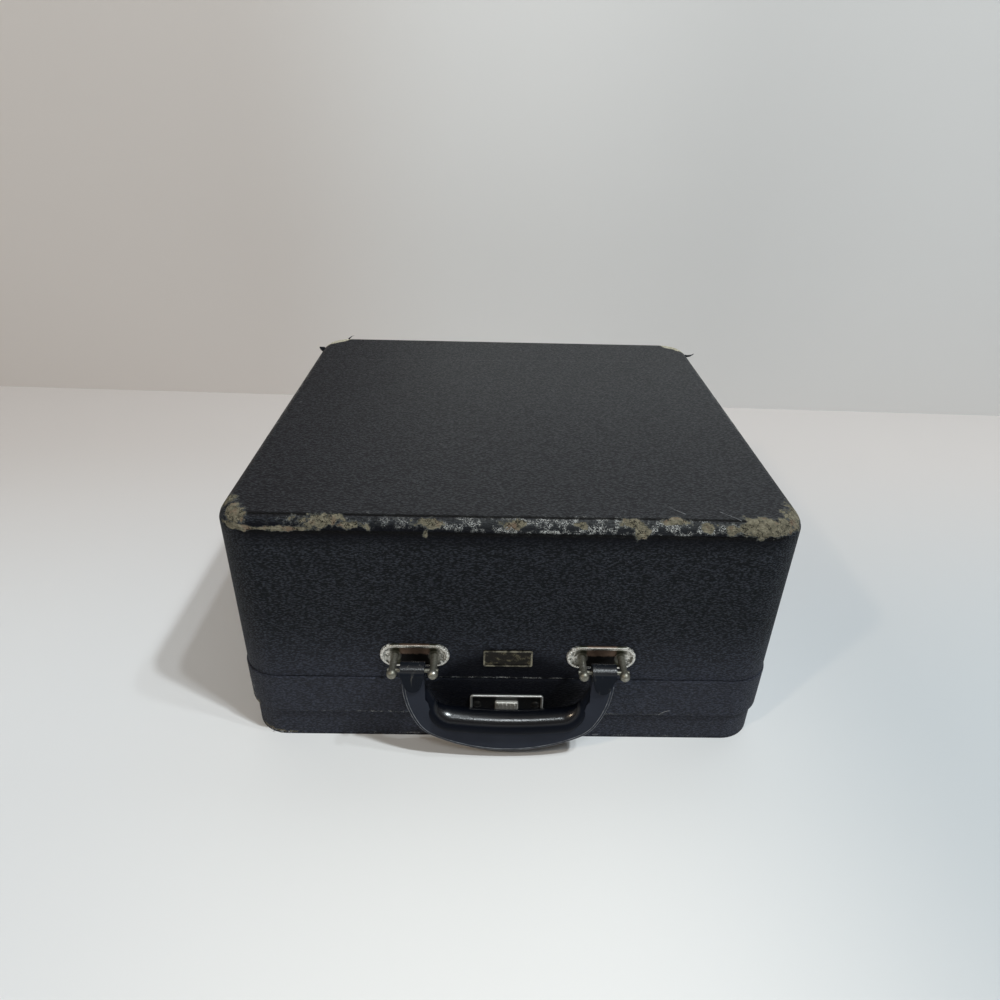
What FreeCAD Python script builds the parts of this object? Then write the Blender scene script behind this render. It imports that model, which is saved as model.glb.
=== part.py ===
import FreeCAD, Part
import math
import os

# Portable typewriter case: wooden base and lid in black leatherette, hinged at the back,
# with a side-slide lock and a leather handle that hangs from posts on the lid's front.
# Millimetres. X runs to the right, Y to the back, Z up. The origin is the centre of the underside.

# Closed case, outside
case_width = 325.0
case_depth = 316.0
case_height = 162.0
seam_height = 50.8  # lower edge of the lid
belt_bottom = 21.6  # the base steps in to its foot here
corner_radius = 23.5  # upright corners
top_edge_radius = 9.5
soft_edge = 0.6  # bevel of the covered lower edges
belt_proud = 0.9  # the belt stands proud of the lid all round
foot_step = 2.0  # the foot stands back from the belt all round
rim_gap = 0.3  # open joint between lid and base

# Boards, skins and linings
wall = 7.0
top_board = 5.0
floor_board = 6.0
covering = 0.8
lining = 0.6
underside_sheet = 0.8
glue_gap = 0.1
lip_thickness = 2.5
lip_rise = 9.0  # the lip stands this far above the seam
lip_clearance = 0.5  # between the lip and the lid's lining

# General clearances
overrun = 2.0  # cutters reach this far past what they cut
hair = 0.01  # two heights closer than this are the same height
loft_degree = 3
shank_clearance = 0.05  # round shank in its hole, on the radius
part_gap = 0.3  # between pieces that move past each other

# Handle mounts on the lid's front
mount_spacing = 110.4  # between the centres of the two plates
mount_rise = 18.7  # from the seam up to the middle of the plates
mount_plate_length = 41.0
mount_plate_height = 16.5
mount_plate_thickness = 0.9
mount_rim_width = 1.7
mount_rim_rise = 0.9
mount_boss_radius = 4.0  # raised seat round each post
post_spacing = 23.5
post_radius = 2.15
post_reach = 19.5  # from the lid's face to the front of the ball
post_ball_radius = 3.0
cross_pin_radius = 1.2
cross_pin_reach = 13.5  # its axis, from the lid's face
cross_pin_overhang = 0.7  # past each post
backing_length = 34.0
backing_height = 12.0
backing_thickness = 1.2
post_tail_radius = 3.2
post_tail_length = 1.0

# Handle: arcs of its outer edge from the arm down, each ending at a turn from the level
arm_width = 13.8
arm_thickness = 8.0
arm_top_drop = 3.0  # from the pivot down to the top of the stitched leather
side_drop = 7.5  # the side arc starts here, plumb
side_radius = 73.0
side_end = 63.4  # degrees
heel_radius = 24.6
heel_end = 30.1  # degrees
flange_edge_radius = 2.2
barrel_radius = 5.3
barrel_bore = 2.6
tongue_length = 8.2  # below the pivot, to the centre of its round end
tongue_end_radius = 4.6
tongue_bevel = 0.4
grip_radius = 7.5
grip_drop = 40.9  # from the pivot to the grip's axis at the middle
grip_half_straight = 34.0  # half the length of the nearly straight part
grip_sag = 2.4  # the middle hangs this much below the ends of that part
grip_bend_radius = 20.0  # of the axis, where the bend starts
grip_bend_end = 75.0  # degrees from level, where the bend runs into the arm
grip_bend_steps = 5  # rings of the thinning bend
grip_end_radius = 3.4  # the grip thins along the bend
grip_tip_radius = 2.2  # and ends flush with the arm's inner edge
grip_tip_drop = 11.0
arm_straight_drop = 20.0  # the arm's inner edge runs straight this far below the pivot
eye_radius = 2.4
eye_strap_thickness = 1.2
eye_strap_width = 9.0
eye_strap_drop = 24.0
eye_gap = 0.2

# Badge, left bare
badge_width = 29.2
badge_height = 12.2
badge_thickness = 0.5
badge_rim_width = 1.0
badge_rim_rise = 0.5
badge_corner_radius = 1.2
badge_rise = 16.8  # from the seam up to its middle
badge_pin_radius = 0.7
badge_pin_length = 6.0
badge_pin_inset = 3.0

# Lock plate and thumb button on the belt's front
lock_height = 30.6
lock_plate_width = 45.0
lock_plate_height = 17.0
lock_plate_thickness = 0.8
lock_rim_width = 1.5
lock_rim_rise = 1.2
lock_rim_edge_radius = 0.7
lock_plate_corner = 2.0
lock_tack_inset = 4.4
lock_tack_radius = 1.0
lock_tack_head_radius = 2.75
lock_tack_head_rise = 1.0
lock_tack_length = 5.6
button_width = 14.4
button_height = 7.6
button_thickness = 2.1
button_corner_radius = 1.3
button_edge_radius = 1.0
button_grip_radius = 0.35
button_grip_count = 5
stem_width = 6.0
stem_height = 3.4
lock_travel = 4.0

# Lock works inside the base's front wall
lock_case_width = 31.0
lock_case_floor = 23.8
lock_case_sheet = 0.8
lock_case_front_depth = 2.6  # from the lid's face to the case's front
lock_fit = 0.1  # lock case in its mortise
bolt_thickness = 2.0
bolt_height = 4.6
bolt_tail = 12.0  # left of the button's middle
bolt_nose = 3.4  # right of the button's middle
shelf_thickness = 1.0
spring_thickness = 0.4
spring_width = 2.4
spring_rise = 4.6  # ends above its lowest point
tongue_start = 4.0  # left edge of the lid's hasp
hasp_width = 10.0
hasp_thickness = 1.6
hasp_end = 24.9
hasp_notch_depth = 5.0
hasp_play = 0.6  # above and below the bolt
hasp_forward_room = 1.2  # the hasp swings forward by less than this as the lid opens
hasp_plate_length = 36.0
hasp_plate_width = 4.4
hasp_plate_thickness = 1.2
hasp_screw_spacing = 26.0
hasp_screw_radius = 1.1
hasp_screw_head_radius = 1.9
hasp_screw_head_depth = 0.9
hasp_screw_length = 9.0

# Butt hinges on the back
hinge_inset = 62.5  # from the case's sides to the middle of each hinge
hinge_length = 42.0
hinge_leaf_height = 17.0
hinge_leaf_thickness = 1.2
knuckle_radius = 3.0
knuckle_count = 3
knuckle_gap = 0.3
hinge_pin_radius = 1.3
hinge_pin_head_radius = 2.2
hinge_pin_head_length = 0.9
hinge_seat = 0.05
hinge_screw_radius = 1.2
hinge_screw_head_radius = 2.4
hinge_screw_head_rise = 0.8
hinge_screw_length = 7.5
hinge_screw_columns = 2
hinge_screw_column_spacing = 28.0
hinge_screw_height = 10.5  # from the hinge's axis

# Hold-downs for the machine's feet
hold_down_inset = 50.5  # from the case's sides
rear_hook_inset = 62.0  # from the case's back
rear_hook_width = 26.0
rear_hook_base = 18.0
rear_hook_reach = 9.0
rear_hook_rise = 8.0
hook_sheet = 1.5
hook_bend_radius = 2.4
hook_screw_spacing = 15.0
floor_screw_radius = 1.3
floor_screw_head_radius = 2.5
floor_screw_head_rise = 1.0
floor_screw_length = 4.6
front_clip_inset = 46.0  # from the case's front
clip_length = 32.0
clip_width = 11.0
clip_sheet = 1.6
clip_post_radius = 4.2
clip_post_height = 8.4
clip_shank_radius = 2.0
clip_head_radius = 3.8
clip_head_height = 1.8
clip_float = 0.15  # above and below the clip

# Insets from the case's outline, from the outside in
lid_wood_out = covering + glue_gap
lid_wood_in = lid_wood_out + wall
lid_lining_out = lid_wood_in + glue_gap
lid_lining_in = lid_lining_out + lining
lip_out = lid_lining_in + lip_clearance
lip_in = lip_out + lip_thickness
base_wood_in = lip_out - glue_gap
base_lining_out = lip_in + glue_gap
base_lining_in = base_lining_out + lining
belt_wood_out = covering + glue_gap - belt_proud
foot_out = foot_step - belt_proud

# Heights from the floor up
base_wood_bottom = underside_sheet + glue_gap
floor_top = base_wood_bottom + floor_board
lip_bottom = floor_top + glue_gap
floor_lining_top = lip_bottom + lining
base_top = seam_height - rim_gap
base_wood_top = base_top - covering - glue_gap
lip_top = seam_height + lip_rise
lid_wood_bottom = seam_height + covering + glue_gap
lid_wood_top = case_height - covering - glue_gap
top_board_bottom = lid_wood_top - top_board
lid_wall_top = top_board_bottom - glue_gap
lid_lining_top = lid_wall_top

# Faces that other pieces sit on
lid_front = -case_depth / 2
lid_back = case_depth / 2
belt_front = lid_front - belt_proud
belt_back = lid_back + belt_proud
lid_lining_inside = lid_front + lid_lining_in
mount_height = seam_height + mount_rise
badge_centre_height = seam_height + badge_rise
pivot_y = lid_front - cross_pin_reach
pivot_z = mount_height
arm_x = mount_spacing / 2
hinge_y = belt_back + part_gap + knuckle_radius
hinge_outside = belt_back + hinge_seat + hinge_leaf_thickness
hinge_z = seam_height - rim_gap / 2
bolt_y = lid_front + lock_case_front_depth + lock_case_sheet + hasp_forward_room + bolt_thickness / 2
button_front = belt_front - lock_plate_thickness - part_gap - button_thickness
hinge_x = case_width / 2 - hinge_inset
hold_down_x = case_width / 2 - hold_down_inset
rear_hook_y = case_depth / 2 - rear_hook_inset
front_clip_y = front_clip_inset - case_depth / 2


def box(x0, x1, y0, y1, z0, z1):
    return Part.makeBox(x1 - x0, y1 - y0, z1 - z0, FreeCAD.Vector(x0, y0, z0))


def rod_x(radius, x0, x1, y, z):
    return Part.makeCylinder(radius, x1 - x0, FreeCAD.Vector(x0, y, z), FreeCAD.Vector(1, 0, 0))


def rod_y(radius, y0, y1, x, z):
    return Part.makeCylinder(radius, y1 - y0, FreeCAD.Vector(x, y0, z), FreeCAD.Vector(0, 1, 0))


def rod_z(radius, z0, z1, x, y):
    return Part.makeCylinder(radius, z1 - z0, FreeCAD.Vector(x, y, z0), FreeCAD.Vector(0, 0, 1))


def fused(shapes):
    return shapes[0].multiFuse(shapes[1:]).removeSplitter()


def upright_edges(shape):
    return [e for e in shape.Edges if e.BoundBox.XLength < hair and e.BoundBox.YLength < hair]


def level_edges(shape, height):
    return [e for e in shape.Edges if abs(e.BoundBox.ZMin - height) < hair and e.BoundBox.ZLength < hair]


def edges_facing_front(shape, y):
    return [e for e in shape.Edges if abs(e.BoundBox.YMin - y) < hair and e.BoundBox.YLength < hair]


def outline_block(inset, bottom, top):
    """Upright block with the case's plan, drawn in by the inset."""
    half_x = case_width / 2 - inset
    half_y = case_depth / 2 - inset
    block = box(-half_x, half_x, -half_y, half_y, bottom, top)
    return block.makeFillet(corner_radius - inset, upright_edges(block))


def dome_arc(seat, radius, rise):
    """Arc in the X and Y plane from a dome's crown on the X axis to its rim. A negative rise faces -X."""
    sphere = (radius**2 + rise**2) / (2 * rise)
    reach = math.asin(radius / abs(sphere)) / 2
    middle = seat + rise - sphere
    crown = FreeCAD.Vector(seat + rise, 0, 0)
    half_way = FreeCAD.Vector(middle + sphere * math.cos(reach), abs(sphere) * math.sin(reach), 0)
    return Part.Arc(crown, half_way, FreeCAD.Vector(seat, radius, 0)).toShape()


def turned(edges, outline):
    """Solid turned about the X axis, from curved edges and the straight outline that joins them."""
    points = [FreeCAD.Vector(x, y, 0) for x, y in outline]
    lines = [Part.makeLine(a, b) for a, b in zip(points, points[1:])]
    face = Part.Face(Part.Wire(Part.sortEdges(edges + lines)[0]))
    return face.revolve(FreeCAD.Vector(0, 0, 0), FreeCAD.Vector(1, 0, 0), 360)


def domed_pin(radius, length, head_radius, head_rise):
    """Shank along +X from a domed head, whose seat is at the origin."""
    outline = [(0, head_radius), (0, radius), (length, radius), (length, 0), (-head_rise, 0)]
    return turned([dome_arc(0, head_radius, -head_rise)], outline)


def stadium(length, height, y0, y1, x, z):
    """Plate with half-round ends, from y0 to y1, centred on x and z."""
    radius = height / 2
    reach = length / 2 - radius
    middle = box(x - reach, x + reach, y0, y1, z - radius, z + radius)
    return fused([middle, rod_y(radius, y0, y1, x - reach, z), rod_y(radius, y0, y1, x + reach, z)])


def rounded_plate(width, height, corner, y0, y1, x, z):
    plate = box(x - width / 2, x + width / 2, y0, y1, z - height / 2, z + height / 2)
    corners = [e for e in plate.Edges if e.BoundBox.XLength < hair and e.BoundBox.ZLength < hair]
    return plate.makeFillet(corner, corners)


# Places of the fasteners
def post_places(side):
    middle = side * mount_spacing / 2
    return [middle - post_spacing / 2, middle + post_spacing / 2]


def hinge_screw_columns_at(side):
    step = hinge_screw_column_spacing / (hinge_screw_columns - 1)
    first = side * hinge_x - hinge_screw_column_spacing / 2
    return [first + step * i for i in range(hinge_screw_columns)]


def hinge_screws_at(height):
    """Round-headed screws through the leaves, driven forward into the back wall."""
    screws = []
    for side in (-1, 1):
        for x in hinge_screw_columns_at(side):
            head = (hinge_screw_head_radius, hinge_screw_head_rise)
            screw = domed_pin(hinge_screw_radius, hinge_screw_length, *head)
            screw.rotate(FreeCAD.Vector(0, 0, 0), FreeCAD.Vector(0, 0, 1), -90)
            screw.translate(FreeCAD.Vector(x, hinge_outside, height))
            screws.append(screw)
    return screws


def hinge_screw_holes(height):
    radius = hinge_screw_radius + shank_clearance
    end = hinge_outside - hinge_screw_length - overrun / 4
    places = [x for side in (-1, 1) for x in hinge_screw_columns_at(side)]
    return [rod_y(radius, end, hinge_outside + overrun, x, height) for x in places]


lid_screw_height = hinge_z + hinge_screw_height
base_screw_height = hinge_z - hinge_screw_height


def post_holes():
    radius = post_radius + shank_clearance
    inner = lid_lining_inside + backing_thickness + overrun
    places = [x for side in (-1, 1) for x in post_places(side)]
    return [rod_y(radius, lid_front - overrun, inner, x, mount_height) for x in places]


def badge_pin_places():
    reach = badge_width / 2 - badge_pin_inset
    return [-reach, reach]


def badge_pin_holes():
    radius = badge_pin_radius + shank_clearance
    end = lid_front + badge_pin_length + overrun / 4
    return [rod_y(radius, lid_front - overrun, end, x, badge_centre_height) for x in badge_pin_places()]


def lock_tack_places():
    reach = lock_plate_width / 2 - lock_tack_inset
    return [-reach, reach]


def lock_tack_holes():
    radius = lock_tack_radius + shank_clearance
    seat = belt_front - lock_plate_thickness
    end = seat + lock_tack_length + overrun / 4
    return [rod_y(radius, seat - overrun, end, x, lock_height) for x in lock_tack_places()]


# Recesses for the lock in the base and for the hasp's plate in the lid
hasp_middle = tongue_start + hasp_width / 2
hasp_y = bolt_y
hasp_plate_front = hasp_y - hasp_plate_width / 2


def hasp_plate_recess():
    left = hasp_middle - hasp_plate_length / 2 - lock_fit
    right = hasp_middle + hasp_plate_length / 2 + lock_fit
    front = hasp_plate_front - lock_fit
    back = hasp_plate_front + hasp_plate_width + lock_fit
    top = seam_height + hasp_plate_thickness + lock_fit
    return box(left, right, front, back, seam_height - overrun, top)


def hasp_screw_places():
    return [hasp_middle - hasp_screw_spacing / 2, hasp_middle + hasp_screw_spacing / 2]


def hasp_screws(extra):
    """Countersunk screws up into the lid's rim. With an extra on the radius they cut their own holes."""
    screws = []
    for x in hasp_screw_places():
        seat = FreeCAD.Vector(x, hasp_y, seam_height)
        radius = hasp_screw_radius + extra
        head = Part.makeCone(hasp_screw_head_radius + extra, radius, hasp_screw_head_depth, seat)
        shank = rod_z(radius, seam_height, seam_height + hasp_screw_length + extra, x, hasp_y)
        screws.append(fused([head, shank]))
    return screws


def lock_mortise():
    half = lock_case_width / 2 + lock_fit
    front = lid_front + lock_case_front_depth - lock_fit
    back = lid_front + lip_out
    return box(-half, half, front, back, lock_case_floor - lock_fit, base_top + overrun)


def stem_window():
    """Slot through skin and wall for the button's stem over its whole travel."""
    left = -stem_width / 2 - 2 * part_gap
    right = stem_width / 2 + lock_travel + 2 * part_gap
    half = stem_height / 2 + 2 * part_gap
    front = belt_front - overrun
    return box(left, right, front, lid_front + lip_out, lock_height - half, lock_height + half)


# Lid
def make_lid_wood():
    wood = outline_block(lid_wood_out, lid_wood_bottom, lid_wood_top)
    return wood.makeFillet(top_edge_radius - lid_wood_out, level_edges(wood, lid_wood_top))


def make_lid_frame():
    inside = outline_block(lid_wood_in, lid_wood_bottom - overrun, lid_wood_top + overrun)
    above = outline_block(0, lid_wall_top, case_height + overrun)
    cutters = [inside, above, hasp_plate_recess()]
    cutters += post_holes() + badge_pin_holes() + hasp_screws(shank_clearance)
    cutters += hinge_screw_holes(lid_screw_height)
    return make_lid_wood().cut(cutters)


def make_lid_top_board():
    below = outline_block(0, seam_height - overrun, top_board_bottom)
    return make_lid_wood().cut(below)


def make_lid_covering():
    skin = outline_block(0, seam_height, case_height)
    skin = skin.makeFillet(top_edge_radius, level_edges(skin, case_height))
    skin = skin.makeChamfer(soft_edge, level_edges(skin, seam_height))
    hollow = outline_block(covering, seam_height + covering, case_height - covering)
    hollow = hollow.makeFillet(top_edge_radius - covering, level_edges(hollow, case_height - covering))
    mouth = outline_block(lid_wood_in, seam_height - overrun, seam_height + covering + overrun)
    cutters = [hollow, mouth, hasp_plate_recess()] + post_holes() + badge_pin_holes()
    cutters += hinge_screw_holes(lid_screw_height)
    return skin.cut(cutters)


def make_lid_lining():
    outside = outline_block(lid_lining_out, seam_height, lid_lining_top)
    inside = outline_block(lid_lining_in, seam_height - overrun, lid_lining_top - lining)
    return outside.cut([inside] + post_holes())


# Base
def make_base_frame():
    belt = outline_block(belt_wood_out, belt_bottom + covering + glue_gap, base_wood_top)
    foot = outline_block(foot_out + covering + glue_gap, base_wood_bottom, base_wood_top)
    inside = outline_block(base_wood_in, base_wood_bottom - overrun, base_wood_top + overrun)
    cutters = [inside, lock_mortise(), stem_window()] + lock_tack_holes()
    cutters += hinge_screw_holes(base_screw_height)
    return fused([belt, foot]).cut(cutters)


def make_base_covering():
    belt = outline_block(-belt_proud, belt_bottom, base_top)
    belt = belt.makeChamfer(soft_edge, level_edges(belt, belt_bottom) + level_edges(belt, base_top))
    foot = outline_block(foot_out, underside_sheet, belt_bottom + covering + glue_gap)
    belt_hollow = outline_block(covering - belt_proud, belt_bottom + covering, base_top - covering)
    foot_hollow_top = belt_bottom + covering + overrun
    foot_hollow = outline_block(foot_out + covering, underside_sheet - overrun, foot_hollow_top)
    mouth = outline_block(base_wood_in, belt_bottom, base_top + overrun)
    cutters = [belt_hollow, foot_hollow, mouth, lock_mortise(), stem_window()] + lock_tack_holes()
    cutters += hinge_screw_holes(base_screw_height)
    return fused([belt, foot]).cut(cutters)


def make_base_board():
    board = outline_block(base_wood_in + glue_gap, base_wood_bottom, floor_top)
    return board.cut(floor_screw_holes())


def make_base_underside():
    return outline_block(foot_out, 0, underside_sheet)


def make_base_lip():
    outside = outline_block(lip_out, lip_bottom, lip_top)
    outside = outside.makeChamfer(lip_thickness / 3, level_edges(outside, lip_top))
    inside = outline_block(lip_in, lip_bottom - overrun, lip_top + overrun)
    return outside.cut(inside)


def make_base_lining():
    outside = outline_block(base_lining_out, lip_bottom, seam_height)
    inside = outline_block(base_lining_in, floor_lining_top, seam_height + overrun)
    return outside.cut([inside] + floor_screw_holes())


# Handle mounts
def make_mount_plate(side):
    """Pressed oval plate: rolled rim, dished field and a raised seat round each post."""
    x = side * mount_spacing / 2
    back = lid_front - hinge_seat
    field = back - mount_plate_thickness
    crest = field - mount_rim_rise
    plate = stadium(mount_plate_length, mount_plate_height, crest, back, x, mount_height)
    plate = plate.makeFillet(mount_rim_rise, edges_facing_front(plate, crest))
    inner_length = mount_plate_length - 2 * mount_rim_width
    inner_height = mount_plate_height - 2 * mount_rim_width
    dish = stadium(inner_length, inner_height, crest - overrun, field, x, mount_height)
    plate = plate.cut(dish)
    boss_top = field - mount_rim_rise / 2
    bosses = [rod_y(mount_boss_radius, boss_top, back, post, mount_height) for post in post_places(side)]
    return fused([plate] + bosses).cut(post_holes())


def mount_post():
    """Ball-headed post along +X from the front of the ball, with a riveted tail."""
    neck = post_ball_radius + math.sqrt(post_ball_radius**2 - post_radius**2)
    widest = FreeCAD.Vector(post_ball_radius, post_ball_radius, 0)
    ball = Part.Arc(FreeCAD.Vector(0, 0, 0), widest, FreeCAD.Vector(neck, post_radius, 0)).toShape()
    tail = post_reach + lid_lining_in + hinge_seat + backing_thickness
    dome = dome_arc(tail, post_tail_radius, post_tail_length)
    outline = [(neck, post_radius), (tail, post_radius), (tail, post_tail_radius)]
    axis = Part.makeLine(FreeCAD.Vector(tail + post_tail_length, 0, 0), FreeCAD.Vector(0, 0, 0))
    return turned([ball, dome, axis], outline)


def make_mount_posts(side):
    """Two turned posts, drilled for the cross pin."""
    posts = []
    for x in post_places(side):
        post = mount_post()
        post.rotate(FreeCAD.Vector(0, 0, 0), FreeCAD.Vector(0, 0, 1), 90)
        post.translate(FreeCAD.Vector(x, lid_front - post_reach, mount_height))
        reach = post_radius + overrun
        hole = rod_x(cross_pin_radius + shank_clearance, x - reach, x + reach, pivot_y, pivot_z)
        posts.append(post.cut(hole))
    return Part.makeCompound(posts)


def make_cross_pin(side):
    first, last = post_places(side)
    left = first - post_radius - cross_pin_overhang
    right = last + post_radius + cross_pin_overhang
    return rod_x(cross_pin_radius, left, right, pivot_y, pivot_z)


def make_mount_backing(side):
    x = side * mount_spacing / 2
    front = lid_lining_inside + hinge_seat
    plate = stadium(backing_length, backing_height, front, front + backing_thickness, x, mount_height)
    return plate.cut(post_holes())


# Handle
def on_arc(side, centre_x, centre_drop, radius, turn):
    """Point of the handle's plane on an arc, turned in degrees from straight down towards the side."""
    angle = math.radians(turn)
    x = centre_x + radius * math.sin(angle)
    return FreeCAD.Vector(side * x, pivot_y, pivot_z - centre_drop - radius * math.cos(angle))


def handle_edge():
    """Centre and radius of the outer edge's arcs: side, heel and bottom."""
    side_x = arm_x + arm_width / 2 - side_radius
    shift = side_radius - heel_radius
    heel_x = side_x + shift * math.sin(math.radians(side_end))
    heel_drop = side_drop + shift * math.cos(math.radians(side_end))
    bottom_radius = heel_radius + heel_x / math.sin(math.radians(heel_end))
    bottom_drop = heel_drop - (bottom_radius - heel_radius) * math.cos(math.radians(heel_end))
    side_arc = (side_x, side_drop, side_radius)
    heel_arc = (heel_x, heel_drop, heel_radius)
    return side_arc, heel_arc, (0, bottom_drop, bottom_radius)


def grip_axis():
    """Centre and radius of the grip axis's arcs, middle and bend, and the turn where they meet."""
    middle_radius = (grip_half_straight**2 + grip_sag**2) / (2 * grip_sag)
    turn = math.degrees(math.asin(grip_half_straight / middle_radius))
    middle_drop = grip_drop - middle_radius
    shift = middle_radius - grip_bend_radius
    bend_x = shift * math.sin(math.radians(turn))
    bend_drop = middle_drop + shift * math.cos(math.radians(turn))
    return (0, middle_drop, middle_radius), (bend_x, bend_drop, grip_bend_radius), turn


def three_point_arc(side, arc, start, end):
    """Edge along an arc of the handle's plane between two turns."""
    return Part.Arc(*[on_arc(side, *arc, turn) for turn in (start, (start + end) / 2, end)]).toShape()


def ring_turned(side, arc, start, end, radius):
    """Part of a ring: a disc square to the arc at its start, turned about the arc's centre to its end."""
    place = on_arc(side, *arc, start)
    centre = FreeCAD.Vector(side * arc[0], pivot_y, pivot_z - arc[1])
    lean = math.radians(start)
    along = FreeCAD.Vector(side * math.cos(lean), 0, math.sin(lean))
    disc = Part.Face(Part.Wire([Part.makeCircle(radius, place, along)]))
    return disc.revolve(centre, FreeCAD.Vector(0, -side, 0), end - start)


def bend_place(side, share):
    """Centre and radius of the thinning grip at a share of its bend. Its inner side keeps to one arc."""
    bend_x, bend_drop, bend_radius = grip_axis()[1]
    join = grip_axis()[2]
    fade = share**2 * (3 - 2 * share)
    radius = grip_radius - (grip_radius - grip_end_radius) * fade
    reach = bend_radius - grip_radius + radius
    return on_arc(side, bend_x, bend_drop, reach, join + (grip_bend_end - join) * share), radius


def bend_ring(side, share, extra):
    place, radius = bend_place(side, share)
    join = grip_axis()[2]
    lean = math.radians(join + (grip_bend_end - join) * share)
    along = FreeCAD.Vector(side * math.cos(lean), 0, math.sin(lean))
    return Part.Wire([Part.makeCircle(radius + extra, place, along)])


def grip_solid(extra):
    """Round grip: a long shallow bend, a thinning bend up at each end, and tips that fade into the arms."""
    middle, _, join = grip_axis()
    shares = [i / grip_bend_steps for i in range(grip_bend_steps + 1)]
    pieces = []
    for side in (-1, 1):
        pieces.append(ring_turned(side, middle, 0, join, grip_radius + extra))
        rings = [bend_ring(side, share, extra) for share in shares]
        pieces.append(Part.makeLoft(rings, True, False, False, loft_degree))
        tip_x = arm_x - arm_width / 2 + grip_tip_radius
        tip = FreeCAD.Vector(side * tip_x, pivot_y, pivot_z - grip_tip_drop)
        lean = tip.sub(bend_place(side, 1)[0])
        tip_ring = Part.Wire([Part.makeCircle(grip_tip_radius + extra, tip, lean)])
        pieces.append(Part.makeLoft([rings[-1], tip_ring], True, True))
    return fused(pieces)


def handle_plate():
    """The stitched leather's full outline as a plate with rounded outer edges, not yet open inside."""
    side_arc, heel_arc, bottom_arc = handle_edge()
    edges = []
    tops = []
    for side in (-1, 1):
        start = on_arc(side, *side_arc, 90)
        top = FreeCAD.Vector(start.x, pivot_y, pivot_z - arm_top_drop)
        tops.append(top)
        edges.append(Part.makeLine(top, start))
        edges.append(three_point_arc(side, side_arc, 90, side_end))
        edges.append(three_point_arc(side, heel_arc, side_end, heel_end))
    ends = [on_arc(side, *bottom_arc, heel_end) for side in (-1, 1)]
    edges.append(Part.Arc(ends[0], on_arc(1, *bottom_arc, 0), ends[1]).toShape())
    edges.append(Part.makeLine(*tops))
    face = Part.Face(Part.Wire(Part.sortEdges(edges)[0]))
    face.translate(FreeCAD.Vector(0, -arm_thickness / 2, 0))
    plate = face.extrude(FreeCAD.Vector(0, arm_thickness, 0))
    top_z = tops[0].z
    outer = [e for e in plate.Edges if e.BoundBox.YLength < hair and e.BoundBox.ZMin < top_z - hair]
    return plate.makeFillet(flange_edge_radius, outer)


def handle_inside():
    """What is open between the arms, down to the grip's axis."""
    middle, _, join = grip_axis()
    inner_x = arm_x - arm_width / 2
    top = pivot_z + overrun
    knee = pivot_z - arm_straight_drop
    edges = []
    for side in (-1, 1):
        start, halfway, end = [bend_place(side, share)[0] for share in (0, 1 / 2, 1)]
        low = FreeCAD.Vector(side * inner_x, pivot_y, knee)
        high = FreeCAD.Vector(side * inner_x, pivot_y, top)
        edges.append(Part.makeLine(high, low))
        edges.append(Part.makeLine(low, end))
        edges.append(Part.Arc(end, halfway, start).toShape())
    ends = [on_arc(side, *middle, join) for side in (-1, 1)]
    edges.append(Part.Arc(ends[0], on_arc(1, *middle, 0), ends[1]).toShape())
    tops = [FreeCAD.Vector(side * inner_x, pivot_y, top) for side in (-1, 1)]
    edges.append(Part.makeLine(*tops))
    face = Part.Face(Part.Wire(Part.sortEdges(edges)[0]))
    face.translate(FreeCAD.Vector(0, -arm_thickness, 0))
    return face.extrude(FreeCAD.Vector(0, 2 * arm_thickness, 0))


def make_handle_flange():
    cutters = [handle_inside(), grip_solid(glue_gap)]
    for side in (-1, 1):
        x = side * arm_x
        reach = arm_width / 2 + overrun
        cutters.append(rod_x(barrel_radius + glue_gap, x - reach, x + reach, pivot_y, pivot_z))
        cutters.append(eye_strap(side, glue_gap))
    return handle_plate().cut(cutters)


def make_handle_grip():
    cutters = [eye_strap(side, glue_gap) for side in (-1, 1)]
    return grip_solid(0).cut(cutters)


def eye_strap(side, extra):
    x = side * arm_x
    half_width = eye_strap_width / 2 + extra
    half_sheet = eye_strap_thickness / 2 + extra
    front = pivot_y - half_sheet
    back = pivot_y + half_sheet
    bottom = pivot_z - eye_strap_drop - extra
    return box(x - half_width, x + half_width, front, back, bottom, pivot_z - eye_radius / 2)


def make_handle_eye(side):
    """Steel strap in the arm, rolled into an eye round the cross pin."""
    x = side * arm_x
    half = arm_width / 2 - eye_gap
    ring = rod_x(eye_radius, x - half, x + half, pivot_y, pivot_z)
    reach = half + overrun
    bore = rod_x(cross_pin_radius + shank_clearance, x - reach, x + reach, pivot_y, pivot_z)
    return fused([ring, eye_strap(side, 0)]).cut(bore)


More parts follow.
